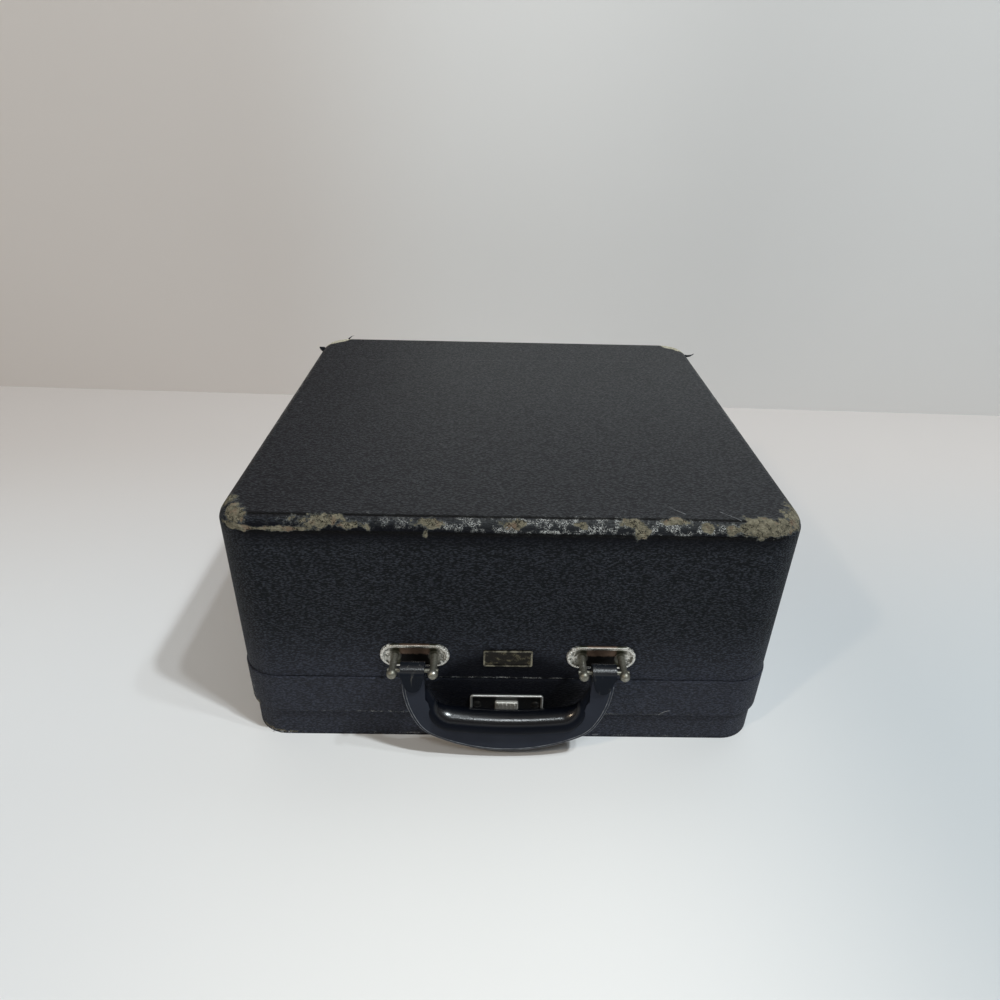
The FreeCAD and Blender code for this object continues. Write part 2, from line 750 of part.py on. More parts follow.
def make_handle_loop(side):
    """Leather loop: a barrel round the eye, and a tapered tongue with a round end on each face of the arm."""
    x = side * arm_x
    half = arm_width / 2
    barrel = rod_x(barrel_radius, x - half, x + half, pivot_y, pivot_z)
    end_z = pivot_z - tongue_length
    front = pivot_y - barrel_radius
    back = pivot_y + barrel_radius
    lean = math.atan2(tongue_length, half) - math.acos(tongue_end_radius / math.hypot(tongue_length, half))
    low_half = tongue_end_radius * math.cos(lean)
    low_z = end_z + tongue_end_radius * math.sin(lean)
    corners = [(-half, pivot_z), (half, pivot_z), (low_half, low_z), (-low_half, low_z), (-half, pivot_z)]
    outline = Part.makePolygon([FreeCAD.Vector(x + shift, front, z) for shift, z in corners])
    strap = Part.Face(outline).extrude(FreeCAD.Vector(0, back - front, 0))
    tongue = fused([strap, rod_y(tongue_end_radius, front, back, x, end_z)])
    tongue = tongue.makeChamfer(tongue_bevel, edges_facing_front(tongue, front))
    inner = arm_thickness / 2 + glue_gap / 2
    reach = half + overrun
    arm_room = box(x - reach, x + reach, pivot_y - inner, pivot_y + inner, end_z - reach, pivot_z)
    tongues = tongue.cut(arm_room)
    bore = rod_x(barrel_bore, x - reach, x + reach, pivot_y, pivot_z)
    return fused([tongues, barrel]).cut([bore, eye_strap(side, glue_gap)])


# Badge
def make_badge():
    back = lid_front - hinge_seat
    field = back - badge_thickness
    crest = field - badge_rim_rise
    size = (badge_width, badge_height, badge_corner_radius)
    plate = rounded_plate(*size, crest, back, 0, badge_centre_height)
    inner_width = badge_width - 2 * badge_rim_width
    inner_height = badge_height - 2 * badge_rim_width
    inner_corner = badge_corner_radius / 2
    reach = crest - overrun
    recess = rounded_plate(inner_width, inner_height, inner_corner, reach, field, 0, badge_centre_height)
    end = lid_front + badge_pin_length
    pins = [rod_y(badge_pin_radius, field, end, x, badge_centre_height) for x in badge_pin_places()]
    return fused([plate.cut(recess)] + pins)


# Lock
def make_lock_plate():
    back = belt_front - hinge_seat
    field = belt_front - lock_plate_thickness
    crest = field - lock_rim_rise
    size = (lock_plate_width, lock_plate_height, lock_plate_corner)
    plate = rounded_plate(*size, crest, back, 0, lock_height)
    inner_width = lock_plate_width - 2 * lock_rim_width
    inner_height = lock_plate_height - 2 * lock_rim_width
    inner_corner = lock_plate_corner / 2
    pan = rounded_plate(inner_width, inner_height, inner_corner, crest - overrun, field, 0, lock_height)
    plate = plate.cut(pan)
    plate = plate.makeFillet(lock_rim_edge_radius, edges_facing_front(plate, crest))
    left = -stem_width / 2 - part_gap
    right = stem_width / 2 + lock_travel + part_gap
    half = stem_height / 2 + part_gap
    slot = box(left, right, crest, back + overrun, lock_height - half, lock_height + half)
    return plate.cut([slot] + lock_tack_holes())


def make_lock_tacks():
    seat = belt_front - lock_plate_thickness
    tacks = []
    for x in lock_tack_places():
        head = (lock_tack_head_radius, lock_tack_head_rise)
        tack = domed_pin(lock_tack_radius, lock_tack_length, *head)
        tack.rotate(FreeCAD.Vector(0, 0, 0), FreeCAD.Vector(0, 0, 1), 90)
        tack.translate(FreeCAD.Vector(x, seat, lock_height))
        tacks.append(tack)
    return Part.makeCompound(tacks)


def make_lock_button():
    """Thumb button with upright grip ribs, and the stem that drives the bolt."""
    field = belt_front - lock_plate_thickness
    back = field - part_gap
    size = (button_width, button_height, button_corner_radius)
    button = rounded_plate(*size, button_front, back, 0, lock_height)
    button = button.makeFillet(button_edge_radius, edges_facing_front(button, button_front))
    step = button_width / (button_grip_count + 1)
    height = button_height - 3 * button_edge_radius
    low = lock_height - height / 2
    places = [step * (i + 1) - button_width / 2 for i in range(button_grip_count)]
    ribs = [rod_z(button_grip_radius, low, low + height, x, button_front) for x in places]
    half_x = stem_width / 2
    half_z = stem_height / 2
    end = bolt_y - bolt_thickness / 2
    stem = box(-half_x, half_x, back - hair, end, lock_height - half_z, lock_height + half_z)
    return fused([button, stem] + ribs)


def make_lock_bolt():
    half_y = bolt_thickness / 2
    low = lock_height - bolt_height / 2
    high = lock_height + bolt_height / 2
    bolt = box(-bolt_tail, bolt_nose, bolt_y - half_y, bolt_y + half_y, low, high)
    nose = [e for e in bolt.Edges if e.BoundBox.XMin > bolt_nose - hair and e.BoundBox.ZLength < hair]
    return bolt.makeChamfer(half_y / 2, nose)


def make_lock_case():
    """Folded steel case: slot in front for the stem, slot on top for the hasp, shelf under the bolt."""
    half = lock_case_width / 2
    front = lid_front + lock_case_front_depth
    back = lid_front + lip_out - lock_fit
    sheet = lock_case_sheet
    inner_front = front + sheet
    inner_back = back - sheet
    shell = box(-half, half, front, back, lock_case_floor, base_top)
    floor = lock_case_floor + sheet
    cave = box(-half + sheet, half - sheet, inner_front, inner_back, floor, base_top - sheet)
    shelf_top = lock_height - bolt_height / 2 - part_gap
    shelf_right = tongue_start - 2 * part_gap
    shelf_bottom = shelf_top - shelf_thickness
    shelf = box(-half + sheet, shelf_right, inner_front, inner_back, shelf_bottom, shelf_top)
    slot_front = hasp_y - hasp_thickness / 2 - hasp_forward_room
    slot_back = hasp_y + hasp_thickness / 2 + part_gap
    slot_left = tongue_start - part_gap
    slot_right = tongue_start + hasp_width + part_gap
    slot_low = base_top - sheet - overrun / 4
    top_slot = box(slot_left, slot_right, slot_front, slot_back, slot_low, base_top + overrun)
    stem_left = -stem_width / 2 - part_gap
    stem_right = stem_width / 2 + lock_travel + part_gap
    stem_low = lock_height - stem_height / 2 - part_gap
    stem_high = lock_height + stem_height / 2 + part_gap
    front_slot = box(stem_left, stem_right, front - overrun, inner_front, stem_low, stem_high)
    return fused([shell.cut(cave), shelf]).cut([top_slot, front_slot])


def make_lock_spring():
    """Bowed leaf spring over the bolt, held at the case's left wall."""
    left = -lock_case_width / 2 + lock_case_sheet + glue_gap / 2
    middle = (left + bolt_nose) / 2
    low = lock_height + bolt_height / 2 + part_gap
    high = low + spring_rise
    front = bolt_y - spring_width / 2
    a = FreeCAD.Vector(left, front, high)
    b = FreeCAD.Vector(middle, front, low)
    c = FreeCAD.Vector(bolt_nose - part_gap, front, high)
    up = FreeCAD.Vector(0, 0, spring_thickness)
    under = Part.Arc(a, b, c).toShape()
    over = Part.Arc(a.add(up), b.add(up), c.add(up)).toShape()
    ends = [Part.makeLine(a, a.add(up)), Part.makeLine(c, c.add(up))]
    face = Part.Face(Part.Wire(Part.sortEdges([under, over] + ends)[0]))
    return face.extrude(FreeCAD.Vector(0, spring_width, 0))


def make_hasp():
    """Plate let into the lid's rim with a notched tongue that drops into the lock."""
    left = hasp_middle - hasp_plate_length / 2
    right = hasp_middle + hasp_plate_length / 2
    back = hasp_plate_front + hasp_plate_width
    plate = box(left, right, hasp_plate_front, back, seam_height, seam_height + hasp_plate_thickness)
    half = hasp_thickness / 2
    tongue_right = tongue_start + hasp_width
    tongue = box(tongue_start, tongue_right, hasp_y - half, hasp_y + half, hasp_end, seam_height)
    low = lock_height - bolt_height / 2 - hasp_play
    high = lock_height + bolt_height / 2 + hasp_play
    notch_right = tongue_start + hasp_notch_depth
    reach = half + overrun
    notch = box(tongue_start - overrun, notch_right, hasp_y - reach, hasp_y + reach, low, high)
    lead = [e for e in tongue.Edges if e.BoundBox.ZMax < hasp_end + hair and e.BoundBox.XLength < hair]
    tongue = tongue.makeChamfer(half, lead)
    return fused([plate, tongue]).cut([notch] + hasp_screws(shank_clearance))


# Hinges
def knuckle_spans(side, of_lid):
    """X ranges of one leaf's knuckles. The lid's are the ones between the base's."""
    pitch = hinge_length / knuckle_count
    start = side * hinge_x - hinge_length / 2
    spans = []
    for i in range(knuckle_count):
        if (i % 2 == 1) == of_lid:
            low = start + pitch * i + (knuckle_gap / 2 if i > 0 else 0)
            high = start + pitch * (i + 1) - (knuckle_gap / 2 if i < knuckle_count - 1 else 0)
            spans.append((low, high))
    return spans


def make_hinge_leaf(side, of_lid):
    """Leaf with its knuckles. The lid's is thicker, since the belt stands proud of the lid."""
    inner = (lid_back if of_lid else belt_back) + hinge_seat
    middle = side * hinge_x
    left = middle - hinge_length / 2
    right = middle + hinge_length / 2
    near = hinge_z + 2 * part_gap if of_lid else hinge_z
    far = hinge_z + hinge_leaf_height if of_lid else hinge_z - hinge_leaf_height
    plate = box(left, right, inner, hinge_outside, min(far, near), max(far, near))
    across = [e for e in plate.Edges if e.BoundBox.XLength + e.BoundBox.ZLength < hair]
    corners = [e for e in across if abs(e.BoundBox.ZMin - far) < hair]
    plate = plate.makeFillet(2 * hinge_leaf_thickness, corners)
    own = knuckle_spans(side, of_lid)
    other = knuckle_spans(side, not of_lid)
    room = knuckle_radius + part_gap
    clear = [rod_x(room, a - knuckle_gap, b + knuckle_gap, hinge_y, hinge_z) for a, b in other]
    rolls = [rod_x(knuckle_radius, a, b, hinge_y, hinge_z) for a, b in own]
    bore = rod_x(hinge_pin_radius + shank_clearance, left - overrun, right + overrun, hinge_y, hinge_z)
    height = lid_screw_height if of_lid else base_screw_height
    return fused([plate.cut(clear)] + rolls).cut([bore] + hinge_screw_holes(height))


def make_hinge_pin(side):
    middle = side * hinge_x
    left = middle - hinge_length / 2
    right = middle + hinge_length / 2
    head_end = left - hinge_seat
    shank = rod_x(hinge_pin_radius, head_end, right + hinge_pin_head_length, hinge_y, hinge_z)
    head = rod_x(hinge_pin_head_radius, head_end - hinge_pin_head_length, head_end, hinge_y, hinge_z)
    return fused([shank, head])


# Hold-downs for the machine
def rear_hook_screw_places():
    half = hook_screw_spacing / 2
    return [(side * hold_down_x + shift, rear_hook_y) for side in (-1, 1) for shift in (-half, half)]


def floor_screw_holes():
    radius = floor_screw_radius + shank_clearance
    bottom = floor_lining_top - floor_screw_length - overrun / 4
    top = floor_lining_top + hook_sheet + overrun
    places = rear_hook_screw_places() + clip_places()
    return [rod_z(radius, bottom, top, x, y) for x, y in places]


def make_rear_hook(side):
    """Bent steel strap: a foot screwed to the floor, a riser and a nose that points forward."""
    x = side * hold_down_x
    half = rear_hook_width / 2
    bottom = floor_lining_top + hinge_seat
    back = rear_hook_y + rear_hook_base / 2
    rise = bottom + hook_sheet + rear_hook_rise
    foot = box(x - half, x + half, back - rear_hook_base, back, bottom, bottom + hook_sheet)
    riser = box(x - half, x + half, back - hook_sheet, back, bottom, rise + hook_sheet)
    nose = box(x - half, x + half, back - hook_sheet - rear_hook_reach, back, rise, rise + hook_sheet)
    hook = fused([foot, riser, nose])
    bends = [e for e in hook.Edges if e.BoundBox.YMin > back - hair and e.BoundBox.ZLength < hair]
    hook = hook.makeFillet(hook_bend_radius, bends)
    return hook.cut(floor_screw_holes())


def make_hook_screws():
    screws = []
    seat = floor_lining_top + hinge_seat + hook_sheet
    for x, y in rear_hook_screw_places():
        head = (floor_screw_head_radius, floor_screw_head_rise)
        screw = domed_pin(floor_screw_radius, floor_screw_length, *head)
        screw.rotate(FreeCAD.Vector(0, 0, 0), FreeCAD.Vector(0, 1, 0), 90)
        screw.translate(FreeCAD.Vector(x, y, seat))
        screws.append(screw)
    return Part.makeCompound(screws)


def clip_places():
    return [(side * hold_down_x, front_clip_y) for side in (-1, 1)]


clip_bottom = floor_lining_top + hinge_seat + clip_post_height + clip_float
clip_top = clip_bottom + clip_sheet


def make_clip_posts():
    """Shouldered posts screwed into the floor: collar, shank for the clip, head."""
    posts = []
    seat = floor_lining_top + hinge_seat
    for x, y in clip_places():
        collar = rod_z(clip_post_radius, seat, clip_bottom - clip_float, x, y)
        shank = rod_z(clip_shank_radius, seat, clip_top + clip_float, x, y)
        head_seat = clip_top + clip_float
        head = rod_z(clip_head_radius, head_seat, head_seat + clip_head_height, x, y)
        root = rod_z(floor_screw_radius, seat - floor_screw_length, seat, x, y)
        posts.append(fused([collar, shank, head, root]))
    return Part.makeCompound(posts)


def make_front_clip(side):
    """Turn clip with round ends; at rest it points back over the machine's foot."""
    x = side * hold_down_x
    y = front_clip_y
    half = clip_width / 2
    far = y + clip_length - clip_width
    arm = box(x - half, x + half, y, far, clip_bottom, clip_top)
    ends = [rod_z(half, clip_bottom, clip_top, x, place) for place in (y, far)]
    radius = clip_shank_radius + shank_clearance
    hole = rod_z(radius, clip_bottom - overrun, clip_top + overrun, x, y)
    return fused([arm] + ends).cut(hole)


def write(name, shape):
    shape.exportStep(os.path.join("parts", name + ".step"))


os.makedirs("parts", exist_ok=True)

write("lid_frame", make_lid_frame())
write("lid_top_board", make_lid_top_board())
write("lid_covering", make_lid_covering())
write("lid_lining", make_lid_lining())
write("base_frame", make_base_frame())
write("base_floor_board", make_base_board())
write("base_covering", make_base_covering())
write("base_underside", make_base_underside())
write("base_lip", make_base_lip())
write("base_lining", make_base_lining())
write("badge_plate", make_badge())
write("handle_flange", make_handle_flange())
write("handle_grip", make_handle_grip())
write("lock_plate", make_lock_plate())
write("lock_plate_tacks", make_lock_tacks())
write("lock_button", make_lock_button())
write("lock_bolt", make_lock_bolt())
write("lock_case", make_lock_case())
write("lock_spring", make_lock_spring())
write("lid_hasp", make_hasp())
write("lid_hasp_screws", Part.makeCompound(hasp_screws(0)))
write("hinge_screws_lid", Part.makeCompound(hinge_screws_at(lid_screw_height)))
write("hinge_screws_base", Part.makeCompound(hinge_screws_at(base_screw_height)))
write("rear_hook_screws", make_hook_screws())
write("front_clip_posts", make_clip_posts())

for side, name in ((-1, "left"), (1, "right")):
    write("handle_plate_" + name, make_mount_plate(side))
    write("handle_posts_" + name, make_mount_posts(side))
    write("handle_cross_pin_" + name, make_cross_pin(side))
    write("handle_backing_" + name, make_mount_backing(side))
    write("handle_eye_" + name, make_handle_eye(side))
    write("handle_loop_" + name, make_handle_loop(side))
    write("hinge_leaf_lid_" + name, make_hinge_leaf(side, True))
    write("hinge_leaf_base_" + name, make_hinge_leaf(side, False))
    write("hinge_pin_" + name, make_hinge_pin(side))
    write("rear_hook_" + name, make_rear_hook(side))
    write("front_clip_" + name, make_front_clip(side))
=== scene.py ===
import math

import bpy
from mathutils import Matrix, Vector, noise


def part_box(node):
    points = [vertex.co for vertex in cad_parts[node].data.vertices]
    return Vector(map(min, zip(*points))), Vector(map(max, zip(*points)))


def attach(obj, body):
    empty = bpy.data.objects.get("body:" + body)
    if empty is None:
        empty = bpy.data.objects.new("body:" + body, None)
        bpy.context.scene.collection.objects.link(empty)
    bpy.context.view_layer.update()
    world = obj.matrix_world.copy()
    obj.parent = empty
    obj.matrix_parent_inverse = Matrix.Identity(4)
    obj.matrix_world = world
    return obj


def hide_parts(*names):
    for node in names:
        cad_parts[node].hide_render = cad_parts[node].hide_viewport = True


# Looks of the portable typewriter case: worn leatherette skins, polished handle, tarnished fittings.
# Metres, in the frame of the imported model.
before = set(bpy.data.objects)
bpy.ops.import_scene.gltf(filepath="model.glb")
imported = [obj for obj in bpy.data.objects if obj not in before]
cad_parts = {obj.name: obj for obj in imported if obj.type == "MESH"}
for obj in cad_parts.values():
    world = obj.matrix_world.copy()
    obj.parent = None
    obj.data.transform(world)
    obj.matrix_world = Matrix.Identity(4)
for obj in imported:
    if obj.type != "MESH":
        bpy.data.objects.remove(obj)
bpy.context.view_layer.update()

# Boxes of the pieces that the new surfaces follow
lid_low, lid_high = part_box("lid_covering")
belt_low, belt_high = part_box("base_covering")
under_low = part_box("base_underside")[0]
pin_low, pin_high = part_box("handle_cross_pin_right")
eye_low, eye_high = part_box("handle_eye_right")
hasp_low, hasp_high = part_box("lid_hasp")
lock_low, lock_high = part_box("lock_case")

# Plan and edges of the case
half_width = lid_high.x
half_depth = lid_high.y
front = -half_depth
top_z = lid_high.z
corner_radius = 0.0235
arc_x = half_width - corner_radius  # middles of the plan's rounded corners
arc_y = half_depth - corner_radius
covering = 0.0008
seam_bevel = 0.0006
bevel_middle = seam_bevel * 0.3  # how far a bevel's middle ring lies from the sharp edge
belt_bevel = seam_bevel * 1.4
belt_bevel_middle = seam_bevel * 0.4
belt_proud = 0.0009
belt_bottom = 0.0216
belt_face = front - belt_proud
foot_inset = half_width + under_low.x
foot_bevel_in = 0.0003
foot_bevel_up = 0.0004
top_edge_inset = 0.0083  # how far the rounded top edge reaches in
top_edge_drop = 0.0094  # and how far down
top_edge_flatness = 1.25  # 1 is a quarter circle, 2 a straight bevel
lid_turn_in = 0.0079
base_turn_in = 0.0090
whole_rim = 0.0023  # this much of the front rim stays covered over the lock's recesses
lap_z = 0.1552  # a fold runs along the front here, under the rubbed strip
band_back = -0.1519  # and a finer one behind the strip
fold_depth = 0.0003
fold_half_height = 0.0007
skin_slack = 0.00016  # how uneven the hand-covered faces are
overlap_y = 0.1003  # the covering's two sheets overlap across the top
overlap_slope = 0.035
overlap_half_step = 0.0006

# How finely the skins are divided
straight_steps = 120
corner_steps = 14
edge_steps = 40
lid_ring_pitch = 0.0042
belt_ring_pitch = 0.0036
foot_ring_pitch = 0.0028
top_ring_pitch = 0.0012  # rings on top start this close together and draw apart inwards
top_ring_growth = 1.22
top_ring_widest = 0.006
top_middle = 0.004  # the last ring stays this far from the middle

# Handle outline, from its pivot
pivot_y = (pin_low.y + pin_high.y) / 2
pivot_z = (pin_low.z + pin_high.z) / 2
arm_x = (eye_low.x + eye_high.x) / 2
arm_width = 0.0138
arm_thickness = 0.008
side_drop = 0.0075
side_radius = 0.073
side_end = math.radians(63.4)
side_steps = 16
heel_radius = 0.0246
heel_end = math.radians(30.1)
heel_steps = 12
bottom_steps = 24
flange_edge_radius = 0.0022
welt_insets = (0.0009, 0.0024)
welt_radius = 0.00024

# Grain of the leathercloth: how its pebbles are stretched, and their number in a metre
pebble_stretch = (0.42, 1.25, 1.45)
pebble_rate = 1050.0
small_pebble_rate = 1800.0
fine_rate = 1900.0

# Where the finishes change, each as the place where a change starts and the place where it is complete
side_to_top = (0.1590, 0.1615)
# painted bounce light from the floor lightens the sides from the first height down to the second
painted_bounce_high_to_low = (0.100, 0.042)
# dust and a painted light gradient on the top grow from here towards the right and the back
left_to_dust_and_light = (-0.165, -0.020)
front_to_dust_and_light = (-0.170, 0.110)
dark_to_pale_board = (0.105, 0.125)
# the stage's uneven light and shade, painted into the floor's and backdrop's colours
painted_light_left_to_middle = (-0.32, -0.02)
painted_light_middle_to_right = (0.02, 0.30)
painted_light_near_to_far = (-0.16, 0.30)


# Material nodes
def tone(red, green, blue):
    """Linear colour from the values that a picture shows, 0 to 255."""
    values = [v / 255 for v in (red, green, blue)]
    return [v / 12.92 if v <= 0.04045 else ((v + 0.055) / 1.055) ** 2.4 for v in values] + [1.0]


def grey(value):
    """A plain number as a colour, for mixing numbers."""
    return (value, value, value, 1.0)


class Finish:
    """One material's node tree, with a short call for each kind of node."""

    def __init__(self, name):
        self.material = bpy.data.materials.new(name)
        self.material.use_nodes = True
        self.tree = self.material.node_tree
        self.tree.nodes.clear()
        self.surface = self.add("ShaderNodeBsdfPrincipled")
        self.output = self.add("ShaderNodeOutputMaterial")
        self.feed(self.output.inputs["Surface"], self.surface.outputs[0])
        coordinates = self.add("ShaderNodeTexCoord")
        self.place = coordinates.outputs["Object"]
        self.facing = coordinates.outputs["Normal"]

    def add(self, kind, **settings):
        node = self.tree.nodes.new(kind)
        for key, value in settings.items():
            setattr(node, key, value)
        return node

    def feed(self, socket, value):
        if isinstance(value, bpy.types.NodeSocket):
            self.tree.links.new(value, socket)
        else:
            socket.default_value = value

    def calc(self, operation, first, second=0.0):
        node = self.add("ShaderNodeMath", operation=operation)
        self.feed(node.inputs[0], first)
        self.feed(node.inputs[1], second)
        return node.outputs[0]

    def plus(self, first, second):
        return self.calc("ADD", first, second)

    def minus(self, first, second):
        return self.calc("SUBTRACT", first, second)

    def times(self, first, second):
        return self.calc("MULTIPLY", first, second)

    def span(self, value, low, high, start=0.0, end=1.0):
        """Smooth step of the value from low to high, given as start to end."""
        node = self.add("ShaderNodeMapRange", interpolation_type="SMOOTHSTEP")
        for socket, number in zip(node.inputs, (value, low, high, start, end)):
            self.feed(socket, number)
        return node.outputs[0]

    def mix(self, share, first, second):
        node = self.add("ShaderNodeMix", data_type="RGBA")
        self.feed(node.inputs[0], share)
        self.feed(node.inputs[6], first)
        self.feed(node.inputs[7], second)
        return node.outputs[2]

    def stretched(self, x, y, z):
        node = self.add("ShaderNodeVectorMath", operation="MULTIPLY")
        self.feed(node.inputs[0], self.place)
        node.inputs[1].default_value = (x, y, z)
        return node.outputs[0]

    def shaken(self, place, scale, amount):
        """The place, moved about by a coarse noise, so that cells and lines aren't regular."""
        cloud = self.add("ShaderNodeTexNoise")
        self.feed(cloud.inputs["Vector"], place)
        cloud.inputs["Scale"].default_value = scale
        shift = self.add("ShaderNodeVectorMath", operation="MULTIPLY_ADD")
        self.feed(shift.inputs[0], cloud.outputs["Color"])
        shift.inputs[1].default_value = (amount, amount, amount)
        self.feed(shift.inputs[2], place)
        return shift.outputs[0]

    def noise(self, scale, detail=3.0, place=None, roughness=0.5):
        node = self.add("ShaderNodeTexNoise")
        self.feed(node.inputs["Vector"], place or self.place)
        node.inputs["Scale"].default_value = scale
        node.inputs["Detail"].default_value = detail
        node.inputs["Roughness"].default_value = roughness
        return node.outputs["Fac"]

    def patches(self, scale, low, high, detail=3.0, roughness=0.5, start=0.0, end=1.0):
        """Patches of a noise: start where it is under the low value, end where it is over the high one."""
        return self.span(self.noise(scale, detail, roughness=roughness), low, high, start, end)

    def veins(self, scale, wide, narrow, detail, roughness, end=1.0):
        """Thin winding lines, where a noise passes through its middle value."""
        away = self.minus(self.noise(scale, detail, roughness=roughness), 0.5)
        return self.span(self.calc("ABSOLUTE", away), wide, narrow, 0.0, end)

    def cells(self, scale, place):
        node = self.add("ShaderNodeTexVoronoi", feature="F1")
        self.feed(node.inputs["Vector"], place)
        node.inputs["Scale"].default_value = scale
        return node.outputs["Distance"]

    def part(self, axis, vector=None):
        """One coordinate of the place, or of another vector."""
        node = self.add("ShaderNodeSeparateXYZ")
        self.feed(node.inputs[0], vector or self.place)
        return node.outputs[axis]

    def attribute(self, name):
        return self.add("ShaderNodeAttribute", attribute_name=name).outputs["Fac"]

    def bump(self, height, distance, strength=1.0):
        node = self.add("ShaderNodeBump")
        self.feed(node.inputs["Height"], height)
        node.inputs["Distance"].default_value = distance
        node.inputs["Strength"].default_value = strength
        self.feed(self.surface.inputs["Normal"], node.outputs[0])

    def set(self, **values):
        """Sockets of the surface, by their names in lower case with underscores."""
        names = {s.name.lower().replace(" ", "_"): s for s in self.surface.inputs}
        for key, value in values.items():
            self.feed(names[key], value)
        return self.material


def leathercloth_grain(m):
    """Height of the grain: large and small pebbles with a fine roughness over them."""
    place = m.shaken(m.stretched(*pebble_stretch), 420.0, 0.0008)
    pebble = m.minus(1.0, m.cells(pebble_rate, place))
    small = m.minus(1.0, m.cells(small_pebble_rate, place))
    fine = m.noise(fine_rate, 2.0, place, 0.7)
    return m.plus(m.plus(pebble, m.times(small, 0.35)), m.times(fine, 0.4))


def leathercloth_colour(m, grain, top):
    """Dark pits, partly painted shade, and lighter pebbles; greyer low on the sides as painted bounce
    light; dust and painted light to the top's back right.
    """
    # lighter and bluer low on the sides: painted bounce light from the floor
    low = m.span(m.part("Z"), *painted_bounce_high_to_low)
    dark = m.mix(low, tone(17, 20, 24), tone(42, 44, 51))
    light = m.mix(low, tone(51, 55, 63), tone(62, 66, 79))
    # dust, with a painted gradient of light, towards the top's back right
    dust_and_light_right = m.span(m.part("X"), *left_to_dust_and_light)
    dust_and_light_back = m.span(m.part("Y"), *front_to_dust_and_light, 0.40, 1.0)
    dust_and_light = m.times(dust_and_light_right, dust_and_light_back)
    dark = m.mix(top, dark, m.mix(dust_and_light, tone(23, 23, 27), tone(51, 52, 54)))
    light = m.mix(top, light, m.mix(dust_and_light, tone(45, 47, 52), tone(72, 73, 75)))
    # pebble tops lighter with wear; the pits' darkness is partly painted shade in the grain
    colour = m.mix(m.span(grain, 0.80, 1.12), dark, light)
    speck = m.patches(1000.0, 0.60, 0.68, roughness=0.8)
    patchy = m.patches(16.0, 0.35, 0.7, 4.0, start=0.25)
    return m.mix(m.times(speck, m.times(patchy, 0.6)), colour, tone(112, 116, 126))


def rubbed_and_shaded_leathercloth(m, colour, ragged):
    """The colour with its lighter wear (rubbed strip, scuffs with flakes) and painted shade on the front
    and in the folds.
    """
    rubbed = m.mix(m.patches(760.0, 0.34, 0.66, 5.0, 0.8), tone(12, 13, 18), tone(70, 72, 74))
    colour = m.mix(m.times(m.attribute("band"), 0.9), colour, rubbed)
    # painted shade: under the strip, and the handle's shadow over an oval of the front
    colour = m.mix(m.attribute("shade"), colour, tone(4, 6, 14))
    scuffed = m.span(m.plus(m.attribute("scuff"), m.times(ragged, 1.3)), 0.05, 0.6)
    crackle = m.times(m.veins(780.0, 0.034, 0.014, 3.0, 0.7), m.patches(240.0, 0.44, 0.60))
    colour = m.mix(m.times(scuffed, 0.12), colour, tone(84, 88, 90))
    colour = m.mix(m.times(m.times(crackle, scuffed), 0.9), colour, tone(216, 219, 217))
    # painted shade in the folds
    return m.mix(m.times(m.attribute("crease_shade"), 0.92), colour, tone(5, 5, 6))


def bare_board(m, back):
    """The board that shows where the covering is torn: stained and cracked in front, pale at the back."""
    board = m.mix(m.patches(380.0, 0.30, 0.70, 5.0, 0.75), tone(86, 83, 71), tone(134, 129, 112))
    board = m.mix(m.patches(130.0, 0.54, 0.70, end=0.6), board, tone(116, 94, 80))
    board = m.mix(m.veins(170.0, 0.018, 0.007, 4.0, 0.6, 0.95), board, tone(14, 12, 12))
    pale = m.mix(m.patches(420.0, 0.32, 0.68, 5.0, 0.75), tone(142, 137, 118), tone(208, 205, 188))
    return m.mix(back, board, pale)


def leatherette(name, worn=True):
    """Black pebbled leathercloth. Its wear and painted shade follow the attributes kept on the skin's
    points.
    """
    m = Finish(name)
    height = leathercloth_grain(m)
    top = m.span(m.part("Z"), *side_to_top)
    colour = leathercloth_colour(m, height, top)
    rough = m.span(height, 0.7, 1.4, 0.62, 0.42)
    if worn:
        ragged = m.minus(m.noise(170.0, 4.0, roughness=0.62), 0.5)
        colour = rubbed_and_shaded_leathercloth(m, colour, ragged)
        back = m.span(m.part("Y"), *dark_to_pale_board)
        torn_by = m.plus(m.attribute("wear"), m.times(ragged, 2.6))
        torn = m.span(torn_by, 0.0, 0.08)
        rim = m.minus(m.span(torn_by, -0.16, 0.0), torn)
        rim_colour = m.mix(back, tone(96, 98, 94), tone(8, 8, 8))
        colour = m.mix(torn, m.mix(m.times(rim, 0.6), colour, rim_colour), bare_board(m, back))
        rough = m.mix(torn, rough, grey(0.9))
        overlap = m.minus(m.part("Y"), m.times(m.part("X"), overlap_slope))
        overlap = m.span(overlap, overlap_y + overlap_half_step, overlap_y - overlap_half_step, 0.0, 1.1)
        height = m.plus(m.minus(height, torn), m.times(overlap, top))
    m.bump(height, 0.0006, 0.9)
    return m.set(base_color=colour, roughness=rough, specular_ior_level=0.1)


